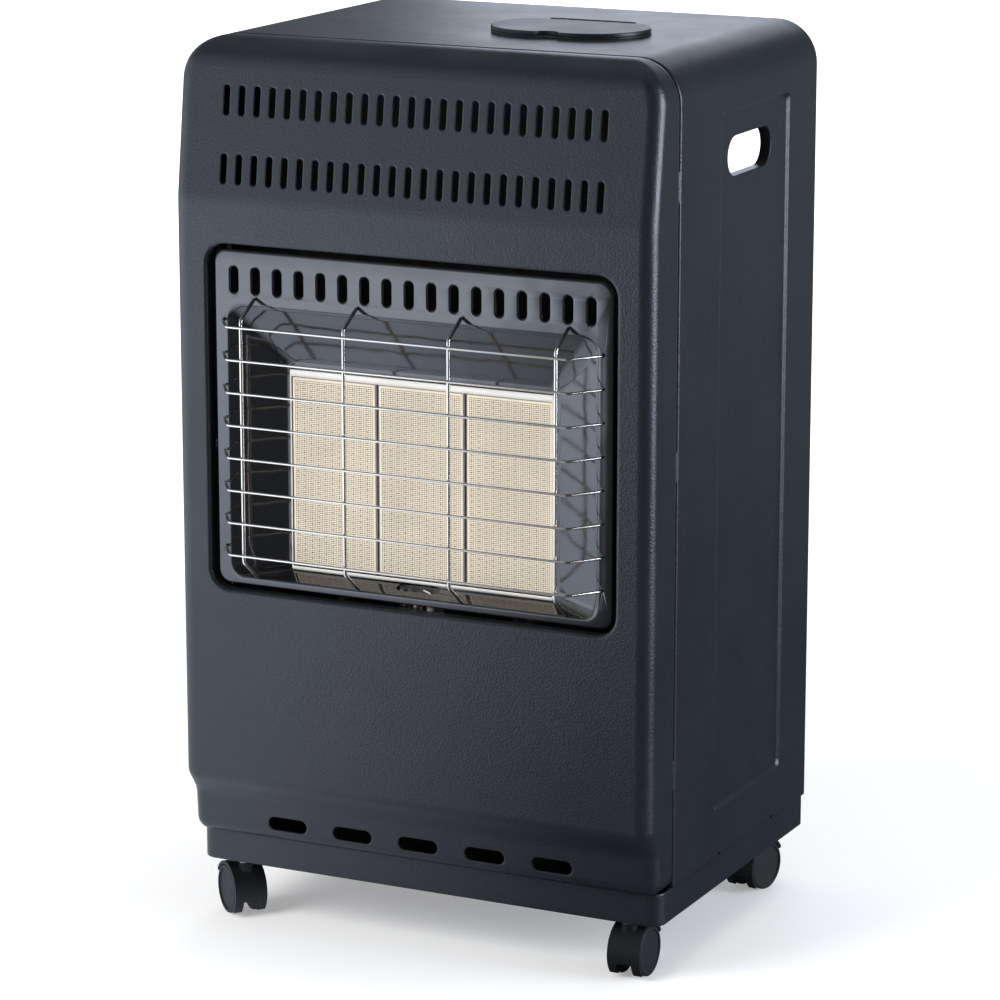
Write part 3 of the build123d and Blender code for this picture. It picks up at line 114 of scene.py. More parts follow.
class StageSizes(bpy.types.PropertyGroup):
    floor_colour: colour("Floor", "Colour of the floor", (0.8, 0.8, 0.8))
    key_power: plain("Key lamp", "Power of the large lamp in front, in watts", 104.0)
    strip_power: plain("Strip lamp", "Power of the lamp on the right, in watts", 84.0)
    top_power: plain("Top lamp", "Power of the lamp above, in watts", 20.0)
    back_power: plain("Back lamp", "Power of the lamp behind, in watts", 7.0)
    ambient: plain("Ambient", "Strength of the light from all round", 0.40)
    floor_lift: plain("Floor lift", "How far the floor is lifted for the camera", 0.3)
    dark_side: plain("Dark side", "How much of the room shows in gloss on its dark side", 0.06)
    gloss_tint: colour("Gloss tint", "Cool tint of the room where it shows in gloss",
                       (0.80, 0.87, 1.0))
    lens: FloatProperty(name="Lens", description="Focal length in millimetres",
                        min=1.0, default=148.1)


class PaintLook(bpy.types.PropertyGroup):
    panel: colour("Panels", "Powder coat of the cabinet", (0.0090, 0.0118, 0.0156))
    enamel: colour("Enamel", "Gloss enamel of the reflector", (0.006, 0.006, 0.007))
    grain_size: length("Grain", "Size of the powder coat's grain", 0.0011)


class ReflectorSizes(bpy.types.PropertyGroup):
    sheet: length("Sheet", "Thickness of the reflector's sheet", 0.001)
    mouth_width: length("Mouth width", "Width of the dish at the front", 0.325)
    mouth_bottom: length("Mouth bottom", "Height of the dish's lower edge", 0.303)
    mouth_top: length("Mouth top", "Height of the dish's upper edge", 0.526)
    mouth_radius: length("Mouth corner", "Corner radius of the dish", 0.010)
    floor_width: length("Floor width", "Width of the dish at the back", 0.242)
    floor_bottom: length("Floor bottom", "Lower edge of the dish's back", 0.3085)
    floor_top: length("Floor top", "Upper edge of the dish's back", 0.482)
    depth: length("Depth", "Depth of the dish", 0.019)
    flange_radius: length("Flange corner", "Corner radius of the flange", 0.0125)
    flange_turn: length("Flange turn", "How far the flange's edge turns back", 0.0026)
    press_reach: length("Pressed edge", "Reach of the rounding where the sheet is pressed", 0.0022)
    press_steps: whole("Rounding steps", "Steps in that rounding", 5)
    slot_count: whole("Slots", "Slots above the dish", 17)
    slot_pitch: length("Slot pitch", "Distance between the slots", 0.01963)
    slot_width: length("Slot width", "Width of a slot", 0.0065)
    slot_height: length("Slot height", "Height of a slot", 0.021)
    slot_level: length("Slot level", "Height of the slots' middle", 0.5467)
    slot_edge: length("Slot edge", "Rounding round each slot", 0.0018)
    slot_depth: length("Slot depth", "How far a slot's edge is drawn in", 0.0012)
    hook_x: length("Hook places", "Distance of the guard's hooks from the middle", 0.167)
    hook_low: length("Lower hooks", "Height of the guard's lower hooks", 0.3272)
    hook_high: length("Upper hooks", "Height of the guard's upper hooks", 0.5134)
    hook_hole: length("Hook hole", "Width of the holes for the hooks", 0.0032)
    pilot_length: length("Pilot opening", "Length of the opening over the pilot", 0.038)
    pilot_depth: length("Pilot depth", "Front to back size of that opening", 0.0116)
    pilot_back: length("Pilot place", "Distance of the pilot behind the flange", 0.013)


class GuardSizes(bpy.types.PropertyGroup):
    thin: length("Thin wire", "Diameter of the wires across", 0.0022)
    thick: length("Thick wire", "Diameter of the wires down", 0.0030)
    rows: whole("Rows", "Wires across", 8, least=2)
    row_pitch: length("Row pitch", "Distance between the wires across", 0.0266)
    columns: whole("Columns", "Wires down", 4, least=2)
    column_pitch: length("Column pitch", "Distance between the wires down", 0.092)
    half_width: length("Half width", "Half the flat width of the guard", 0.150)
    spread: length("Spread", "How far the ends lean outwards", 0.017)
    overrun: length("Overrun", "Straight run of a thick wire past the last row", 0.006)
    top_rise: length("Top rise", "Rise of a thick wire's upper end", 0.013)
    bottom_fall: length("Bottom fall", "Fall of a thick wire's lower end", 0.017)
    standoff: length("Standoff", "Gap between the wire ends and the flange", 0.0015)
    bend: length("Bend", "Radius of the bends", 0.005)
    hook: length("Hook", "Length of the hooks", 0.006)
    hook_bend: length("Hook bend", "Radius of the hooks' bends", 0.0025)
    weld: length("Weld", "Size of the weld bead at a crossing", 0.0012)


class PlaqueSizes(bpy.types.PropertyGroup):
    hole_pitch: length("Hole pitch", "Distance between the burner holes", 0.00158)
    hole_width: length("Hole width", "Width of most burner holes", 0.00088)
    large_width: length("Large hole width", "Width of the larger burner holes", 0.00126)
    large_columns: whole("Large columns", "Columns from one large hole to the next", 4)
    large_rows: whole("Large rows", "Rows from one large hole to the next", 3)
    hole_depth: length("Hole depth", "Depth to which the holes are modelled", 0.003)
    margin: length("Margin", "Plain edge round the holes", 0.0018)
    edge_radius: length("Edge", "Rounding of a plaque's front edge", 0.0007)
    ceramic: colour("Ceramic", "Colour of the plaques", (0.95, 0.85, 0.69))
    # The colour inside the holes is painted shade: hole walls and floors darker than the ceramic
    # because they lie in shade.
    inside: colour("Inside holes", "Colour inside the holes", (0.24, 0.12, 0.045))
    strip: length("Strip", "Height of the strip below the plaques", 0.0035)
    strip_thick: length("Strip sheet", "Thickness of the strips' sheet", 0.0009)
    strip_gap: length("Strip gap", "Gap between the frame and the plaques", 0.0006)


# Materials --------------------------------------------------------------------------------


def add(tree, kind, inputs=None, **settings):
    """Adds a node; a value that is a socket is linked, any other is set."""
    made = tree.nodes.new(kind)
    for name, value in settings.items():
        setattr(made, name, value)
    for key, value in (inputs or {}).items():
        socket = made.inputs[key]
        if isinstance(value, bpy.types.NodeSocket):
            tree.links.new(value, socket)
        else:
            socket.default_value = value
    return made


def mathn(tree, operation, first, second=0.0):
    return add(tree, "ShaderNodeMath", {0: first, 1: second}, operation=operation).outputs[0]


def map_range(tree, value, low=0.0, high=1.0, to_low=0.0, to_high=1.0):
    names = {"Value": value, "From Min": low, "From Max": high, "To Min": to_low, "To Max": to_high}
    return add(tree, "ShaderNodeMapRange", names).outputs["Result"]


def mix_colour(tree, factor, first, second, how="MIX"):
    values = {FACTOR: factor, FIRST: first, SECOND: second}
    made = add(tree, "ShaderNodeMix", values, data_type="RGBA", blend_type=how)
    return made.outputs[MIXED]


def weighed_sum(tree, first, second, share):
    """Sum of two values, the first weighed by a share and the second by the rest."""
    return mathn(tree, "ADD", mathn(tree, "MULTIPLY", first, share),
                 mathn(tree, "MULTIPLY", second, 1.0 - share))


def object_point(tree):
    return add(tree, "ShaderNodeTexCoord").outputs["Object"]


def noise(tree, scale, detail=2.0, vector=None, rough=0.5):
    values = {"Scale": scale, "Detail": detail, "Roughness": rough}
    values["Vector"] = vector or object_point(tree)
    return add(tree, "ShaderNodeTexNoise", values).outputs["Fac"]


def new_group(name, inputs, outputs):
    """Node group with number inputs and the given outputs; returns it with its two ends."""
    tree = bpy.data.node_groups.new(name, "ShaderNodeTree")
    for label, default in inputs:
        socket = tree.interface.new_socket(label, in_out="INPUT", socket_type="NodeSocketFloat")
        socket.default_value = default
    for label in outputs:
        tree.interface.new_socket(label, in_out="OUTPUT", socket_type="NodeSocketFloat")
    start = tree.nodes.new("NodeGroupInput")
    end = tree.nodes.new("NodeGroupOutput")
    return tree, start.outputs, end.inputs


def grain_group():
    """Fine pebbled grain of powder coat and moulded plastic."""
    tree, given, out = new_group("grain", [("Size", 0.001)], ["Height", "Speckle"])
    scale = mathn(tree, "DIVIDE", 1.0, given["Size"])
    fine = noise(tree, scale, detail=3.0)
    cells = add(tree, "ShaderNodeTexVoronoi", {"Vector": object_point(tree),
                                               "Scale": mathn(tree, "MULTIPLY", scale, 0.6)})
    bumps = map_range(tree, cells.outputs["Distance"], high=0.8, to_low=1.0, to_high=0.0)
    tree.links.new(weighed_sum(tree, bumps, fine, 0.5), out["Height"])
    tree.links.new(map_range(tree, fine, low=0.62, high=0.75), out["Speckle"])
    return tree


def edge_group():
    """Mask of outer edges, where hands and cloths have rubbed them, and a rounded normal."""
    tree, given, out = new_group("rubbed_edges", [("Width", 0.001)], ["Mask"])
    tree.interface.new_socket("Normal", in_out="OUTPUT", socket_type="NodeSocketVector")
    soft = add(tree, "ShaderNodeBevel", {"Radius": given["Width"]}, samples=8)
    tree.links.new(soft.outputs["Normal"], out["Normal"])
    flat = add(tree, "ShaderNodeNewGeometry")
    turn = add(tree, "ShaderNodeVectorMath", {0: soft.outputs["Normal"], 1: flat.outputs["Normal"]},
               operation="DOT_PRODUCT")
    edge = map_range(tree, turn.outputs["Value"], low=0.995, high=0.8)
    patchy = map_range(tree, noise(tree, 60.0, detail=4.0), low=0.35, high=0.65)
    tree.links.new(mathn(tree, "MULTIPLY", edge, patchy), out["Mask"])
    return tree


def dust_group():
    """Mask of faces that look up, where dust settles."""
    tree, given, out = new_group("settled_dust", [("Amount", 0.5)], ["Mask"])
    normal = add(tree, "ShaderNodeNewGeometry").outputs["Normal"]
    up = add(tree, "ShaderNodeSeparateXYZ", {0: normal}).outputs["Z"]
    facing = map_range(tree, up, low=0.55)
    cloud = map_range(tree, noise(tree, 14.0, detail=6.0, rough=0.65), low=0.3, high=0.75)
    amount = mathn(tree, "MULTIPLY", mathn(tree, "MULTIPLY", facing, cloud), given["Amount"])
    tree.links.new(amount, out["Mask"])
    return tree


def patch_group():
    """Slow change over a surface, for handling marks and uneven gloss."""
    tree, given, out = new_group("patches", [("Scale", 9.0)], ["Value"])
    first = noise(tree, given["Scale"], detail=5.0, rough=0.6)
    second = noise(tree, mathn(tree, "MULTIPLY", given["Scale"], 5.3), detail=3.0)
    both = weighed_sum(tree, first, second, 0.7)
    tree.links.new(map_range(tree, both, low=0.3, high=0.7), out["Value"])
    return tree


def streak_group():
    """Fine lines along X, as rolled and drawn metal shows."""
    tree, given, out = new_group("drawn_lines", [("Scale", 900.0)], ["Value"])
    stretched = add(tree, "ShaderNodeMapping", {"Vector": object_point(tree),
                                                "Scale": (0.03, 1.0, 1.0)})
    lines = noise(tree, given["Scale"], detail=4.0, vector=stretched.outputs["Vector"])
    tree.links.new(map_range(tree, lines, low=0.3, high=0.7), out["Value"])
    return tree


GROUPS = {"grain": grain_group, "rubbed_edges": edge_group, "settled_dust": dust_group,
          "patches": patch_group, "drawn_lines": streak_group}


def use_group(tree, name, **values):
    """Places a shared group in a material, building it the first time."""
    group = bpy.data.node_groups.get(name) or GROUPS[name]()
    made = tree.nodes.new("ShaderNodeGroup")
    made.node_tree = group
    for key, value in values.items():
        made.inputs[key].default_value = value
    return made.outputs


def new_material(name):
    """Material with only a Principled shader; returns it, its tree and the shader."""
    material = bpy.data.materials.new(name)
    material.use_nodes = True
    tree = material.node_tree
    tree.nodes.clear()
    shader = tree.nodes.new("ShaderNodeBsdfPrincipled")
    output = tree.nodes.new("ShaderNodeOutputMaterial")
    tree.links.new(shader.outputs["BSDF"], output.inputs["Surface"])
    return material, tree, shader


def shade(value, factor=1.0):
    """A colour made lighter or darker, as the four numbers that a socket takes."""
    return (*(channel * factor for channel in value[:3]), 1.0)


def bump(tree, shader, height, distance, strength=1.0, normal=None):
    made = add(tree, "ShaderNodeBump", {"Height": height, "Distance": distance,
                                        "Strength": strength})
    if normal:
        tree.links.new(normal, made.inputs["Normal"])
    tree.links.new(made.outputs["Normal"], shader.inputs["Normal"])


def coated(name, base, grain, rough, depth=0.00012, wear=0.35, dust=0.05, edge=0.001,
           shine=0.5):
    """Painted or moulded surface with a pebbled grain, rubbed edges and a little dust."""
    material, tree, shader = new_material(name)
    shader.inputs["Specular IOR Level"].default_value = shine
    pebbles = use_group(tree, "grain", Size=grain)
    patches = use_group(tree, "patches")["Value"]
    soft = use_group(tree, "rubbed_edges", Width=edge)
    settled = use_group(tree, "settled_dust", Amount=dust)["Mask"]
    tone = mix_colour(tree, patches, shade(base, DARK_PATCH), shade(base, LIGHT_PATCH))
    lit = map_range(tree, pebbles["Speckle"], to_high=SPECKLE_SHARE)
    tone = mix_colour(tree, lit, tone, shade(base, SPECKLE_SHADE))
    rubbed = mathn(tree, "MULTIPLY", soft["Mask"], wear)
    tone = mix_colour(tree, rubbed, tone, shade(base, RUBBED_SHADE))
    tone = mix_colour(tree, settled, tone, DUST)
    tree.links.new(tone, shader.inputs["Base Color"])
    gloss = map_range(tree, patches, to_low=rough - GLOSS_CHANGE, to_high=rough + GLOSS_CHANGE)
    tree.links.new(gloss, shader.inputs["Roughness"])
    bump(tree, shader, pebbles["Height"], depth, normal=soft["Normal"])
    return material


def metal(name, base, rough, lines=0.0, spread=0.06, stain=0.8):
    """Bare or plated metal, with drawn lines where lines is above 0."""
    material, tree, shader = new_material(name)
    shader.inputs["Metallic"].default_value = 1.0
    patches = use_group(tree, "patches", Scale=22.0)["Value"]
    tone = mix_colour(tree, patches, shade(base, stain), shade(base))
    gloss = map_range(tree, patches, to_low=rough + spread, to_high=rough)
    if lines > 0.0:
        streaks = use_group(tree, "drawn_lines")["Value"]
        uneven = mathn(tree, "MULTIPLY", streaks, lines * LINE_ROUGHNESS)
        gloss = mathn(tree, "ADD", gloss, uneven)
        bump(tree, shader, streaks, LINE_DEPTH, lines)
    tree.links.new(tone, shader.inputs["Base Color"])
    tree.links.new(gloss, shader.inputs["Roughness"])
    return material


def enamel(name, base):
    """Glass-like enamel with the faint waves of pressed sheet."""
    material, tree, shader = new_material(name)
    shader.inputs["IOR"].default_value = 1.9
    patches = use_group(tree, "patches", Scale=30.0)["Value"]
    settled = use_group(tree, "settled_dust", Amount=0.05)["Mask"]
    tone = mix_colour(tree, settled, shade(base), BAKED_DUST)
    tree.links.new(tone, shader.inputs["Base Color"])
    gloss = map_range(tree, patches, to_low=0.05, to_high=0.11)
    tree.links.new(gloss, shader.inputs["Roughness"])
    bump(tree, shader, noise(tree, 38.0, detail=1.0), distance=0.0006, strength=0.35)
    return material


def galvanised(name, base):
    """Zinc-coated sheet with its crystal spangle."""
    material, tree, shader = new_material(name)
    shader.inputs["Metallic"].default_value = 1.0
    spangle = add(tree, "ShaderNodeTexVoronoi", {"Vector": object_point(tree), "Scale": 90.0})
    value = add(tree, "ShaderNodeSeparateColor", {0: spangle.outputs["Color"]}).outputs["Red"]
    tone = mix_colour(tree, value, shade(base, 0.72), shade(base))
    tree.links.new(tone, shader.inputs["Base Color"])
    gloss = map_range(tree, value, to_low=0.5, to_high=0.34)
    tree.links.new(gloss, shader.inputs["Roughness"])
    return material


def ceramic(name, base, rough, mottle=0.12):
    """Fired ceramic, matte or glazed, with a little unevenness."""
    material, tree, shader = new_material(name)
    patches = use_group(tree, "patches", Scale=35.0)["Value"]
    tone = mix_colour(tree, patches, shade(base, 1.0 - mottle), shade(base))
    tree.links.new(tone, shader.inputs["Base Color"])
    shader.inputs["Roughness"].default_value = rough
    bump(tree, shader, noise(tree, 2600.0), distance=0.00005, strength=0.5)
    return material


def make_finishes(scene):
    """Every finish of the heater, by a plain name."""
    paint, plaques = scene.heater_paint, scene.heater_plaques
    grain = paint.grain_size
    black, moulded = (0.013, 0.013, 0.014), 0.0007
    return {
        "powder_coat": coated("powder_coat", paint.panel, grain, rough=0.34, depth=0.00018,
                              edge=0.0022, shine=0.75),
        "enamel": enamel("gloss_enamel", paint.enamel),
        "plated_wire": metal("plated_wire", (1.0, 0.95, 0.87), rough=0.16, stain=0.95),
        # Pale matte colour for the polished steel strips round the plaques: a painted reflection of
        # the bright room.
        "pale_strip": ceramic("pale_strip", (0.92, 0.91, 0.88), rough=0.4, mottle=0.05),
        "heated_steel": metal("heated_steel", (0.34, 0.31, 0.28), rough=0.42),
        # Near-black coat of the bulkhead: partly its own dark paint, partly painted shade of the
        # cabinet's inside.
        "dark_sheet": coated("dark_sheet", (0.010, 0.010, 0.011), grain, rough=0.6, wear=0.1,
                             dust=0.1),
        "galvanised": galvanised("galvanised_sheet", (0.55, 0.56, 0.57)),
        "zinc": metal("zinc_plate", (0.62, 0.62, 0.60), rough=0.30, lines=0.3),
        "brass": metal("turned_brass", (0.72, 0.53, 0.24), rough=0.22, lines=0.5),
        "cast": metal("cast_alloy", (0.56, 0.56, 0.56), rough=0.46),
        "copper": metal("copper_tube", (0.66, 0.36, 0.22), rough=0.30),
        "tube": metal("alloy_tube", (0.66, 0.66, 0.67), rough=0.28),
        "sleeve": coated("silicone_sleeve", (0.45, 0.06, 0.04), grain=0.002, rough=0.5, wear=0.1),
        "glazed": ceramic("glazed_ceramic", (0.82, 0.80, 0.76), rough=0.18, mottle=0.05),
        "ceramic": ceramic("plaque_ceramic", plaques.ceramic, rough=0.85),
        # Darker colour on the hole walls and floors: painted shade inside the holes.
        "ceramic_hole_shade": ceramic("plaque_holes", plaques.inside, rough=0.9),
        "black_plastic": coated("black_plastic", black, moulded, rough=0.42, depth=0.00005),
        "lid_plastic": coated("lid_plastic", shade(paint.panel, 0.95), grain=0.0009, rough=0.40,
                              depth=0.00008, shine=0.7),
        "bezel_plastic": coated("bezel_plastic", (0.012, 0.012, 0.013), moulded, rough=0.45,
                                depth=0.00005),
        "hood_plastic": coated("hood_plastic", (0.009, 0.0095, 0.011), grain=0.0008, rough=0.50,
                               depth=0.00006, shine=0.4),
        "wheel_plastic": coated("wheel_plastic", (0.012, 0.0125, 0.014), grain=0.0012,
                                rough=0.58, depth=0.00006, shine=0.4),
    }


FINISHES = {}


def finish(name):
    if not FINISHES:
        FINISHES.update(make_finishes(bpy.context.scene))
    return FINISHES[name]


# Shapes -----------------------------------------------------------------------------------


def dress(name, *nodes):
    """Gives CAD nodes one of the finishes."""
    for node in nodes:
        target = NODES[node]
        if not target.material_slots:
            target.data.materials.append(None)
        for place in target.material_slots:
            place.material = finish(name)


def put(bm, name, body, materials, smooth=30.0):
    """Turns a bmesh into a finished piece that rides on a body."""
    mesh = bpy.data.meshes.new(name)
    bm.normal_update()
    bm.to_mesh(mesh)
    bm.free()
    piece = bpy.data.objects.new(name, mesh)
    bpy.context.scene.collection.objects.link(piece)
    for material in materials:
        mesh.materials.append(finish(material))
    mesh.shade_smooth()
    mesh.set_sharp_from_angle(angle=math.radians(smooth))
    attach(piece, body)
    return piece


def perforated_tile(low, high, sizes):
    """Ceramic plaque: a front full of small eight-sided holes on a plain block."""
    wide, thick, tall = high - low
    inner_wide, inner_tall = wide - 2 * sizes.margin, tall - 2 * sizes.margin
    columns = round(inner_wide / sizes.hole_pitch)
    rows = round(inner_tall / sizes.hole_pitch)
    bm = bmesh.new()
    bmesh.ops.create_grid(bm, x_segments=columns, y_segments=rows, size=0.5)
    bmesh.ops.scale(bm, vec=(inner_wide, inner_tall, 1.0), verts=bm.verts)
    bmesh.ops.rotate(bm, matrix=Matrix.Rotation(math.pi / 2, 3, "X"), verts=bm.verts)
    large, small = sorted_holes(bm, columns, sizes)
    open_holes(bm, small, sizes.hole_width, sizes)
    open_holes(bm, large, sizes.large_width, sizes)
    margin, _ = extruded(bm, boundary(bm))
    stretch = (wide / inner_wide, 1.0, tall / inner_tall)
    bmesh.ops.scale(bm, vec=stretch, verts=margin)
    rim = boundary(bm)
    back, _ = extruded(bm, rim)
    bmesh.ops.translate(bm, vec=(0.0, thick, 0.0), verts=back)
    bmesh.ops.contextual_create(bm, geom=boundary(bm))
    round_edges(bm, rim, sizes.edge_radius, segments=3)
    bmesh.ops.translate(bm, vec=((low.x + high.x) / 2, low.y, (low.z + high.z) / 2),
                        verts=bm.verts)
    return bm


def sorted_holes(bm, columns, sizes):
    """The grid's faces as those for large holes and those for small ones."""
    large, small = [], []
    for face in bm.faces:
        i, j = face.index % columns, face.index // columns
        shift = (i // sizes.large_columns) % 2
        chosen = i % sizes.large_columns == 1 and j % sizes.large_rows == shift
        (large if chosen else small).append(face)
    return large, small


def open_holes(bm, faces, width, sizes):
    """Sinks an eight-sided hole in the middle of each face."""
    rim = (sizes.hole_pitch - width) / 2
    bmesh.ops.inset_individual(bm, faces=faces, thickness=rim, use_even_offset=True)
    for face in faces:
        face.material_index = HOLE_MARK
    corners = list({vert for face in faces for vert in face.verts})
    bmesh.ops.bevel(bm, geom=corners, offset=width * CUT_CORNER, offset_type="OFFSET",
                    segments=1, profile=0.5, affect="VERTICES", material=-1)
    holes = [face for face in bm.faces if face.material_index == HOLE_MARK]
    deep = bmesh.ops.extrude_discrete_faces(bm, faces=holes)["faces"]
    inner = list({vert for face in deep for vert in face.verts})
    bmesh.ops.translate(bm, vec=(0.0, sizes.hole_depth, 0.0), verts=inner)
    for face in {face for vert in inner for face in vert.link_faces}:
        face.material_index = IN_HOLE


def boundary(bm):
    return [edge for edge in bm.edges if edge.is_boundary]


def extruded(bm, edges):
    """Extrudes edges and returns the new vertices and the new edges."""
    made = bmesh.ops.extrude_edge_only(bm, edges=edges)["geom"]
    return ([item for item in made if isinstance(item, bmesh.types.BMVert)],
            [item for item in made if isinstance(item, bmesh.types.BMEdge)])


def flat_loop(bm, middle, wide, tall, radius, segments, up=UP):
    """Rounded rectangle of edges only, round a middle; returns its edges."""
    turned = Matrix((ACROSS, up, ACROSS.cross(up))).transposed().to_4x4()
    place = Matrix.Translation(middle) @ turned @ Matrix.Diagonal((wide, tall, 1.0, 1.0))
    made = bmesh.ops.create_grid(bm, x_segments=1, y_segments=1, size=0.5, matrix=place)
    offset = min(radius, min(wide, tall) / 2 * FULL_ROUND)
    made = bmesh.ops.bevel(bm, geom=made["verts"], offset=offset, offset_type="OFFSET",
                           profile=0.5, segments=segments, affect="VERTICES", material=-1)
    face = made["verts"][0].link_faces[0]
    edges = list(face.edges)
    bmesh.ops.delete(bm, geom=[face], context="FACES_ONLY")
    return edges


def fill_flat(bm, edges, normal):
    """Fills the flat area inside the outer loop and outside the others."""
    return bmesh.ops.triangle_fill(bm, use_beauty=True, use_dissolve=False, edges=edges,
                                   normal=normal)["geom"]


def face_outwards(bm, normal):
    """Turns all faces one way, the largest of them to a direction."""
    bmesh.ops.recalc_face_normals(bm, faces=bm.faces)
    largest = max(bm.faces, key=lambda face: abs(face.normal.dot(normal)) * face.calc_area())
    if largest.normal.dot(normal) < 0.0:
        bmesh.ops.reverse_faces(bm, faces=bm.faces)


class Rings:
    """Loop of edges drawn on, ring by ring, from one outline to the next."""

    def __init__(self, bm, edges, wide, tall, middle):
        self.bm = bm
        self.edges = edges
        self.wide = wide
        self.tall = tall
        self.middle = Vector(middle)

    def draw(self, wide, tall, middle):
        verts, self.edges = extruded(self.bm, self.edges)
        factor = (wide / self.wide, 1.0, tall / self.tall)
        bmesh.ops.scale(self.bm, vec=factor, space=Matrix.Translation(-self.middle), verts=verts)
        bmesh.ops.translate(self.bm, vec=Vector(middle) - self.middle, verts=verts)
        self.wide, self.tall, self.middle = wide, tall, Vector(middle)

    def turn_back(self, radius, steps, outwards):
        """Quarter turn of the sheet, from flat to straight back."""
        start = self.middle.copy()
        wide, tall = self.wide, self.tall
        for i in range(1, steps + 1):
            angle = math.pi / 2 * i / steps
            grow = 2 * outwards * radius * math.sin(angle)
            deep = radius * (1.0 - math.cos(angle))
            self.draw(wide + grow, tall + grow, start + Vector((0.0, deep, 0.0)))


def round_edges(bm, edges, width, segments):
    bmesh.ops.bevel(bm, geom=list(edges), offset=width, offset_type="OFFSET", segments=segments,
                    profile=0.5, affect="EDGES", material=-1)


def wire(bm, points, radius, bends):
    """Round wire through points, with a rounded bend at each inner one."""
    points = [Vector(point) for point in points]
    heading = (points[1] - points[0]).normalized()
    place = Matrix.Translation(points[0]) @ heading.to_track_quat("Z", "Y").to_matrix().to_4x4()
    ring = bmesh.ops.create_circle(bm, cap_ends=True, segments=WIRE_SIDES, radius=radius,
                                   matrix=place)
    loop = list({edge for vert in ring["verts"] for edge in vert.link_edges})
    here = points[0]
    for i in range(1, len(points)):
        heading = (points[i] - points[i - 1]).normalized()
        end = points[i]
        if i < len(points) - 1:
            after = (points[i + 1] - points[i]).normalized()
            angle = heading.angle(after)
            end = points[i] - heading * bends[i - 1] * math.tan(angle / 2)
        verts, loop = extruded(bm, loop)
        bmesh.ops.translate(bm, vec=end - here, verts=verts)
        here = end
        if i < len(points) - 1:
            axis = heading.cross(after).normalized()
            centre = end + axis.cross(heading) * bends[i - 1]
            turned = bmesh.ops.spin(bm, geom=loop, cent=centre, axis=axis, angle=angle,
                                    steps=BEND_STEPS, use_merge=False)["geom_last"]
            loop = [item for item in turned if isinstance(item, bmesh.types.BMEdge)]
            here = points[i] + after * bends[i - 1] * math.tan(angle / 2)
    bmesh.ops.contextual_create(bm, geom=loop)


# Operators --------------------------------------------------------------------------------


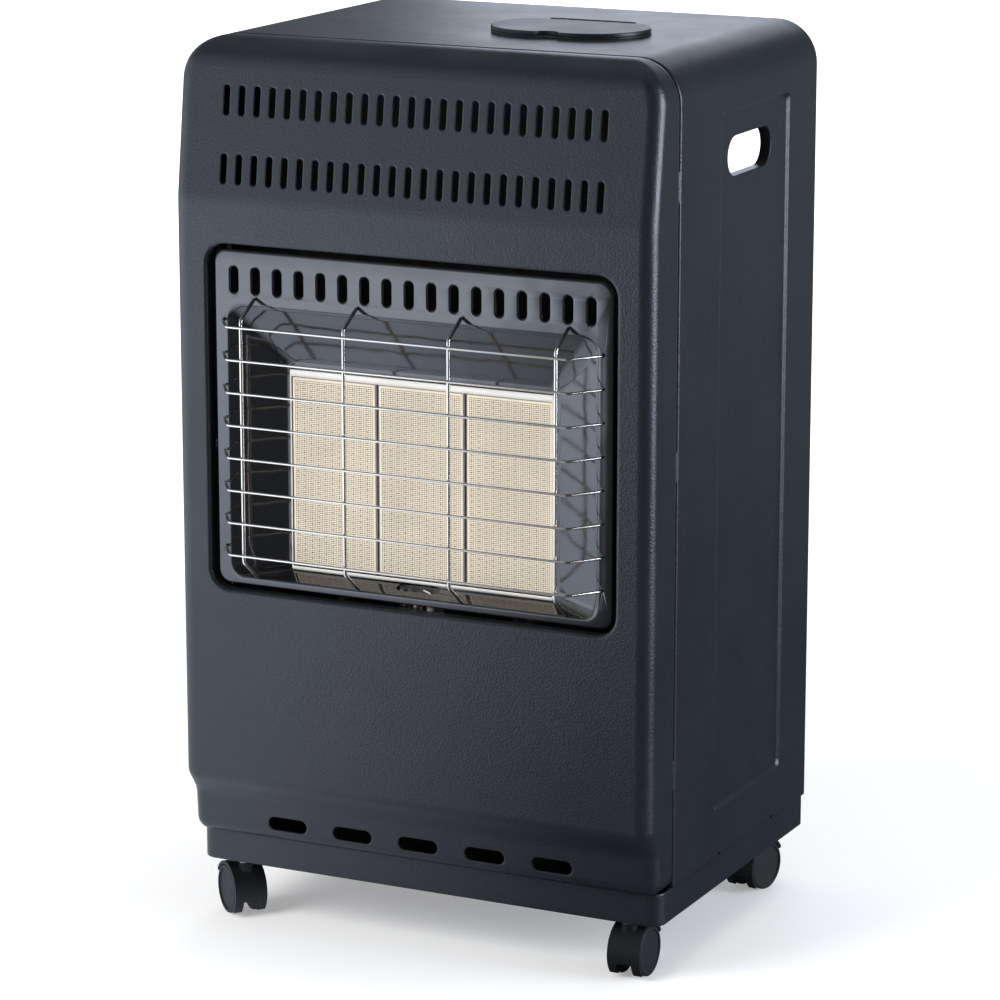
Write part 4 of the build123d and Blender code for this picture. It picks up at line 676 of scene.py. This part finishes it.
class HEATER_OT_stage(bpy.types.Operator):
    """Floor, lamps, surrounding light and camera"""
    bl_idname = "heater.stage"
    bl_label = "Stage"

    def execute(self, context):
        sizes = context.scene.heater_stage
        self.make_floor(sizes)
        self.make_world(context.scene, sizes)
        lamps = {name: self.make_lamp(name, getattr(sizes, f"{name}_power")) for name in LAMPS}
        for name in ("strip", "back"):
            lamps[name].data.color = sizes.gloss_tint
        for name in ("key", "top"):
            lamps[name].visible_glossy = False
        self.make_camera(context.scene, sizes)
        context.scene.view_settings.view_transform = "Standard"
        return {"FINISHED"}

    def make_floor(self, sizes):
        bm = bmesh.new()
        bmesh.ops.create_circle(bm, cap_ends=True, segments=96, radius=FLOOR_RADIUS)
        mesh = bpy.data.meshes.new("floor")
        bm.to_mesh(mesh)
        bm.free()
        floor = bpy.data.objects.new("floor", mesh)
        bpy.context.scene.collection.objects.link(floor)
        mesh.materials.append(self.floor_material(sizes))

    def floor_material(self, sizes):
        """Pale floor that keeps its shadow and reaches white away from the heater."""
        material, tree, shader = new_material("pale_floor")
        shader.inputs["Roughness"].default_value = 0.9
        shader.inputs["Specular IOR Level"].default_value = 0.1
        path = add(tree, "ShaderNodeLightPath").outputs
        point = object_point(tree)
        # Seen in gloss, the floor's colour and glow are painted darker on the room's right side and
        # towards the back: painted shade, so that mirrors show a room lit from the left.
        lit = self.lit_side(tree, point, sizes.dark_side, reach=0.15)
        depth = add(tree, "ShaderNodeSeparateXYZ", {0: point}).outputs["Y"]
        deep = map_range(tree, depth, low=-0.1, high=0.9, to_low=1.0, to_high=0.25)
        shown = self.in_gloss(tree, path, mathn(tree, "MULTIPLY", lit, deep))
        tint = self.gloss_tint(tree, path, sizes)
        tone = mix_colour(tree, 1.0, shade(sizes.floor_colour), tint, "MULTIPLY")
        tone = mix_colour(tree, shown, BLACK, tone)
        tree.links.new(tone, shader.inputs["Base Color"])
        far = add(tree, "ShaderNodeVectorMath", {0: point}, operation="LENGTH")
        away = map_range(tree, far.outputs["Value"], low=0.9, high=3.0)
        glow = mathn(tree, "MULTIPLY", mathn(tree, "ADD", sizes.floor_lift, away), shown)
        tree.links.new(tint, shader.inputs["Emission Color"])
        seen = self.seen_directly(tree, path)
        tree.links.new(mathn(tree, "MULTIPLY", seen, glow), shader.inputs["Emission Strength"])
        return material

    def gloss_tint(self, tree, path, sizes):
        """White, or the cool tint where a surface mirrors the room."""
        return mix_colour(tree, path["Is Glossy Ray"], WHITE, shade(sizes.gloss_tint))

    def seen_directly(self, tree, path):
        """1 for rays from the camera, mirrors and glass."""
        both = mathn(tree, "MAXIMUM", path["Is Camera Ray"], path["Is Glossy Ray"])
        return mathn(tree, "MAXIMUM", both, path["Is Transmission Ray"])

    def lit_side(self, tree, point, dark, reach):
        """1 on the room's lit side, on the left, and dark on its other side."""
        along = add(tree, "ShaderNodeVectorMath", {0: point, 1: LIT_SIDE},
                    operation="DOT_PRODUCT").outputs["Value"]
        return map_range(tree, along, low=-reach, high=reach, to_low=dark)

    def low_front(self, tree, direction, dark):
        """1 low down in front, where the room is bright, and dim above and behind."""
        parts = add(tree, "ShaderNodeSeparateXYZ", {0: direction}).outputs
        low = map_range(tree, parts["Z"], low=0.2, high=0.6, to_low=1.0, to_high=ABOVE * dark)
        front = map_range(tree, parts["Y"], high=0.8, to_low=1.0, to_high=BEHIND * dark)
        return mathn(tree, "MULTIPLY", low, front)

    def in_gloss(self, tree, path, lit):
        """The room's lit side where a surface mirrors it, and 1 anywhere else."""
        return mathn(tree, "MAXIMUM", lit, mathn(tree, "SUBTRACT", 1.0, path["Is Glossy Ray"]))

    def make_world(self, scene, sizes):
        world = bpy.data.worlds.new("pale_room")
        world.use_nodes = True
        tree = world.node_tree
        tree.nodes.clear()
        path = add(tree, "ShaderNodeLightPath").outputs
        direction = add(tree, "ShaderNodeTexCoord").outputs["Generated"]
        dark = sizes.dark_side
        lit = mathn(tree, "MULTIPLY", self.lit_side(tree, direction, dark, reach=0.25),
                    self.low_front(tree, direction, dark))
        strength = map_range(tree, self.seen_directly(tree, path), to_low=sizes.ambient)
        strength = mathn(tree, "MULTIPLY", strength, self.in_gloss(tree, path, lit))
        sky = add(tree, "ShaderNodeBackground", {"Color": self.gloss_tint(tree, path, sizes),
                                                 "Strength": strength})
        output = tree.nodes.new("ShaderNodeOutputWorld")
        tree.links.new(sky.outputs[0], output.inputs["Surface"])
        scene.world = world

    def make_lamp(self, name, power):
        place, (wide, tall) = LAMPS[name]
        light = bpy.data.lights.new(name, "AREA")
        light.shape = "RECTANGLE"
        light.size, light.size_y = wide, tall
        light.energy = power
        lamp = bpy.data.objects.new(name, light)
        lamp.location = place
        lamp.rotation_euler = (LAMP_AIM - Vector(place)).to_track_quat("-Z", "Y").to_euler()
        bpy.context.scene.collection.objects.link(lamp)
        return lamp

    def make_camera(self, scene, sizes):
        data = bpy.data.cameras.new("camera")
        data.sensor_width = SENSOR_WIDTH
        data.lens = sizes.lens
        camera = bpy.data.objects.new("camera", data)
        camera.location = CAMERA_PLACE
        camera.rotation_euler = (math.pi / 2 - CAMERA_PITCH, 0.0, CAMERA_YAW)
        scene.collection.objects.link(camera)
        scene.camera = camera


class HEATER_OT_cabinet(bpy.types.Operator):
    """Sheet metal: front cover, shell, base, rear cover, bulkhead, heat shield and bracket"""
    bl_idname = "heater.cabinet"
    bl_label = "Cabinet"

    def execute(self, context):
        dress("powder_coat", "front_cover", "cabinet_shell", "base_tray", "rear_cover")
        # The bulkhead's near-black coat is partly its own dark paint and partly painted shade of
        # the cabinet's inside, seen through the vents.
        dress("dark_sheet", "bulkhead")
        dress("galvanised", "heat_shield", "valve_bracket")
        dress("zinc", "bulkhead_screws")
        return {"FINISHED"}


class HEATER_OT_reflector(bpy.types.Operator):
    """Enamelled reflector and the wire guard over it"""
    bl_idname = "heater.reflector"
    bl_label = "Reflector and guard"

    def execute(self, context):
        scene = context.scene
        dish = self.pressed_dish(scene.heater_reflector)
        piece = put(dish, "reflector_dish", "cabinet", ("enamel",))
        sheet = piece.modifiers.new("sheet", "SOLIDIFY")
        sheet.thickness = scene.heater_reflector.sheet
        sheet.offset = -1.0
        even = piece.modifiers.new("even", "WEIGHTED_NORMAL")
        even.keep_sharp = True
        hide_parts("reflector")
        guard = self.wire_guard(scene.heater_guard, scene.heater_reflector)
        piece = put(guard, "wire_guard", "cabinet", ("plated_wire",),
                    smooth=60.0)
        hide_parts("guard_grille")
        return {"FINISHED"}

    def pressed_dish(self, sizes):
        """Flange with drawn slots, pressed into a dish that narrows towards the burners."""
        low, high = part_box("reflector")
        turn = sizes.flange_turn
        middle = Vector(((low.x + high.x) / 2, low.y, (low.z + high.z) / 2))
        wide, tall = high.x - low.x - 2 * turn, high.z - low.z - 2 * turn
        bm = bmesh.new()
        outline = flat_loop(bm, middle, wide, tall, sizes.flange_radius - turn, segments=8)
        mouth = self.mouth(bm, sizes, low.y)
        slots = [self.slot(bm, sizes, low.y, i) for i in range(sizes.slot_count)]
        holes = self.hook_holes(bm, sizes, low.y)
        loops = outline + mouth.edges + holes + [edge for slot in slots for edge in slot.edges]
        fill_flat(bm, loops, FRONT)
        Rings(bm, outline, wide, tall, middle).turn_back(turn, steps=5, outwards=1)
        for slot in slots:
            slot.turn_back(sizes.slot_edge, steps=4, outwards=-1)
            end = slot.middle + Vector((0.0, sizes.slot_depth, 0.0))
            slot.draw(slot.wide, slot.tall, end)
        self.press_dish(bm, sizes, mouth)
        self.open_plaque_window(bm, mouth)
        face_outwards(bm, FRONT)
        return bm

    def mouth(self, bm, sizes, front):
        """Outline of the dish on the flange, a little larger by the rounding of its edge."""
        grow = sizes.press_reach
        wide = sizes.mouth_width + 2 * grow
        tall = sizes.mouth_top - sizes.mouth_bottom + 2 * grow
        middle = Vector((0.0, front, (sizes.mouth_top + sizes.mouth_bottom) / 2))
        edges = flat_loop(bm, middle, wide, tall, sizes.mouth_radius + grow, segments=8)
        return Rings(bm, edges, wide, tall, middle)

    def slot(self, bm, sizes, front, i):
        """Outline of one slot on the flange."""
        start = -(sizes.slot_count - 1) / 2 * sizes.slot_pitch
        middle = Vector((start + i * sizes.slot_pitch, front, sizes.slot_level))
        wide, tall = (side + 2 * sizes.slot_edge for side in (sizes.slot_width, sizes.slot_height))
        edges = flat_loop(bm, middle, wide, tall, radius=wide, segments=8)
        return Rings(bm, edges, wide, tall, middle)

    def hook_holes(self, bm, sizes, front):
        """Edges of the four round holes that the guard's hooks go into."""
        edges = []
        size = sizes.hook_hole
        for side in (-1, 1):
            for level in (sizes.hook_low, sizes.hook_high):
                middle = Vector((side * sizes.hook_x, front, level))
                edges += flat_loop(bm, middle, size, size, radius=size, segments=4)
        return edges

    def press_dish(self, bm, sizes, mouth):
        """Draws the mouth back into the dish, with its wall rounded at both ends."""
        reach = sizes.press_reach
        share = reach / math.hypot((sizes.mouth_width - sizes.floor_width) / 2, sizes.depth)
        steps = sizes.press_steps
        turns = [i / steps for i in range(1, steps + 1)]
        start = mouth.middle.y
        for t in turns:
            self.dish_ring(sizes, mouth, start, share * t * t, reach * (1.0 - t) ** 2)
        self.dish_ring(sizes, mouth, start, 1.0 - share, 0.0)
        self.open_pilot(bm, sizes, start)
        for t in turns:
            self.dish_ring(sizes, mouth, start, 1.0 - share * (1.0 - t) ** 2, -reach * t * t)

    def dish_ring(self, sizes, rings, start, share, grow):
        """One ring at a share of the wall's way back, grown outwards."""
        wide = sizes.mouth_width + share * (sizes.floor_width - sizes.mouth_width)
        top = sizes.mouth_top + share * (sizes.floor_top - sizes.mouth_top)
        bottom = sizes.mouth_bottom + share * (sizes.floor_bottom - sizes.mouth_bottom)
        middle = (0.0, start + share * sizes.depth, (top + bottom) / 2)
        rings.draw(wide + 2 * grow, top - bottom + 2 * grow, middle)

    def open_pilot(self, bm, sizes, start):
        """Obround opening in the lower wall, over the pilot."""
        bm.normal_update()
        walls = [face for face in bm.faces if abs(face.calc_center_median().x) < NEAR
                 and face.calc_center_median().z < (sizes.mouth_top + sizes.mouth_bottom) / 2]
        wall = max(walls, key=lambda face: face.calc_area() * abs(face.normal.z))
        normal = wall.normal.copy()
        back = ACROSS.cross(normal).normalized()
        back *= 1.0 if back.y > 0.0 else -1.0
        middle = wall.calc_center_median()
        middle = middle + back * (start + sizes.pilot_back - middle.y) / back.y
        edges = list(wall.edges)
        bmesh.ops.delete(bm, geom=[wall], context="FACES_ONLY")
        edges += flat_loop(bm, middle, sizes.pilot_length, sizes.pilot_depth,
                           radius=sizes.pilot_depth, segments=8, up=back)
        fill_flat(bm, edges, normal)

    def open_plaque_window(self, bm, floor):
        """Floor of the dish, with the opening that the plaques look through."""
        first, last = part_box("ceramic_plaque_left")[0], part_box("ceramic_plaque_right")[1]
        gap = 0.001
        middle = Vector((0.0, floor.middle.y, (first.z + last.z) / 2))
        wide, tall = last.x - first.x + gap, last.z - first.z + gap
        edges = flat_loop(bm, middle, wide, tall, radius=gap, segments=2)
        fill_flat(bm, floor.edges + edges, FRONT)

    def wire_guard(self, sizes, dish):
        """Thin wires across, welded in front of thick wires down."""
        box_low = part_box("guard_grille")[0]
        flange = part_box("reflector")[0].y
        face = box_low.y + sizes.thin / 2
        back = flange - sizes.standoff
        bottom = dish.hook_low
        top = bottom + (sizes.rows - 1) * sizes.row_pitch
        bm = bmesh.new()
        for i in range(sizes.rows):
            z = bottom + i * sizes.row_pitch
            inner, outer = sizes.half_width, sizes.half_width + sizes.spread
            points = [(-outer, back, z), (-inner, face, z), (inner, face, z), (outer, back, z)]
            bends = [sizes.bend] * 2
            if i in (0, sizes.rows - 1):
                tip = back + sizes.hook
                points = [(-outer, tip, z), *points, (outer, tip, z)]
                bends = [sizes.hook_bend, *bends, sizes.hook_bend]
            wire(bm, points, sizes.thin / 2, bends)
        behind = face + (sizes.thin + sizes.thick) / 2 - WELD_SINK
        start = -(sizes.columns - 1) / 2 * sizes.column_pitch
        for j in range(sizes.columns):
            x = start + j * sizes.column_pitch
            low, high = bottom - sizes.overrun, top + sizes.overrun
            wire(bm, [(x, back, low - sizes.bottom_fall), (x, behind, low), (x, behind, high),
                      (x, back, high + sizes.top_rise)], sizes.thick / 2, [sizes.bend] * 2)
            for i in range(sizes.rows):
                self.weld_bead(bm, (x, face + sizes.thin / 2, bottom + i * sizes.row_pitch),
                               sizes.weld)
        return bm

    def weld_bead(self, bm, place, size):
        """Small squeezed-out bead where two wires are welded."""
        made = bmesh.ops.create_icosphere(bm, subdivisions=2, radius=size,
                                          matrix=Matrix.Translation(place))
        at = Matrix.Translation(-Vector(place))
        bmesh.ops.scale(bm, vec=WELD_SHAPE, space=at, verts=made["verts"])


class HEATER_OT_burners(bpy.types.Operator):
    """Perforated plaques, burner bodies, frame, manifold and jets"""
    bl_idname = "heater.burners"
    bl_label = "Burners"

    def execute(self, context):
        for side in BURNERS:
            node = f"ceramic_plaque_{side}"
            bm = perforated_tile(*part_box(node), context.scene.heater_plaques)
            piece = put(bm, f"plaque_{side}", "cabinet", ("ceramic", "ceramic_hole_shade"))
            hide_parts(node)
            dress("heated_steel", f"burner_body_{side}")
        strips = self.bright_frame(context.scene.heater_plaques)
        piece = put(strips, "bright_frame", "cabinet", ("pale_strip",))
        sheet = piece.modifiers.new("sheet", "SOLIDIFY")
        sheet.thickness = context.scene.heater_plaques.strip_thick
        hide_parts("burner_frame")
        dress("zinc", "gas_manifold")
        dress("brass", "burner_injectors")
        return {"FINISHED"}

    def bright_frame(self, sizes):
        """Thin strips above and below the plaques, joined at their ends, whose pale matte colour is
        a painted reflection of the bright room on polished steel.
        """
        low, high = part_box("burner_frame")
        first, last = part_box("ceramic_plaque_left")[0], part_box("ceramic_plaque_right")[1]
        gap = 2 * sizes.strip_gap
        bottom = first.z - sizes.strip
        bm = bmesh.new()
        for wide, base, top in ((high.x - low.x, bottom, high.z),
                                (last.x - first.x + gap, first.z - gap / 2, last.z + gap / 2)):
            middle = ((low.x + high.x) / 2, low.y, (base + top) / 2)
            flat_loop(bm, middle, wide, top - base, radius=gap, segments=3)
        fill_flat(bm, list(bm.edges), FRONT)
        face_outwards(bm, FRONT)
        return bm


class HEATER_OT_pilot(bpy.types.Operator):
    """Pilot burner, thermocouple, electrode and their leads"""
    bl_idname = "heater.pilot"
    bl_label = "Pilot"

    def execute(self, context):
        dress("zinc", "pilot_burner", "burner_pipe")
        dress("copper", "thermocouple")
        dress("glazed", "ignition_electrode")
        dress("sleeve", "ignition_lead")
        dress("tube", "pilot_pipe")
        return {"FINISHED"}


class HEATER_OT_controls(bpy.types.Operator):
    """Control well with its flap, knob and igniter button, and the gas valve"""
    bl_idname = "heater.controls"
    bl_label = "Controls"

    def execute(self, context):
        dress("bezel_plastic", "control_cup")
        dress("lid_plastic", "control_lid")
        dress("zinc", "lid_pins")
        dress("black_plastic", "control_knob", "piezo_body", "piezo_button")
        dress("brass", "valve_spindle", "valve_plug", "hose_nozzle")
        dress("cast", "gas_valve_body")
        return {"FINISHED"}


class HEATER_OT_casters(bpy.types.Operator):
    """Hooded twin-wheel casters"""
    bl_idname = "heater.casters"
    bl_label = "Casters"

    def execute(self, context):
        for place in CASTERS:
            dress("hood_plastic", f"caster_hood_{place}")
            dress("zinc", *(f"caster_{part}_{place}" for part in ("socket", "stem", "axle")))
            dress("wheel_plastic", *(f"caster_wheel_{place}_{end}" for end in ("left", "right")))
        return {"FINISHED"}


class HEATER_PT_panel(bpy.types.Panel):
    """The heater's pieces, in the order they are made"""
    bl_label = "Heater"
    bl_idname = "HEATER_PT_panel"
    bl_space_type = "VIEW_3D"
    bl_region_type = "UI"
    bl_category = "Heater"

    def draw(self, context):
        for operator in OPERATORS:
            self.layout.operator(operator.bl_idname)
        for group in PROPERTY_GROUPS:
            sizes = getattr(context.scene, group)
            for name in sizes.__annotations__:
                self.layout.prop(sizes, name)


PROPERTY_GROUPS = {"heater_stage": StageSizes, "heater_paint": PaintLook,
                   "heater_reflector": ReflectorSizes, "heater_guard": GuardSizes,
                   "heater_plaques": PlaqueSizes}
OPERATORS = (HEATER_OT_stage, HEATER_OT_cabinet, HEATER_OT_reflector, HEATER_OT_burners,
             HEATER_OT_pilot, HEATER_OT_controls, HEATER_OT_casters)


def register():
    for name, group in PROPERTY_GROUPS.items():
        bpy.utils.register_class(group)
        setattr(bpy.types.Scene, name, PointerProperty(type=group))
    for item in (*OPERATORS, HEATER_PT_panel):
        bpy.utils.register_class(item)


def unregister():
    for item in reversed((*OPERATORS, HEATER_PT_panel)):
        bpy.utils.unregister_class(item)
    for name, group in reversed(PROPERTY_GROUPS.items()):
        delattr(bpy.types.Scene, name)
        bpy.utils.unregister_class(group)


def main():
    register()
    for operator in OPERATORS:
        family, name = operator.bl_idname.split(".")
        getattr(getattr(bpy.ops, family), name)()


if __name__ == "__main__":
    main()
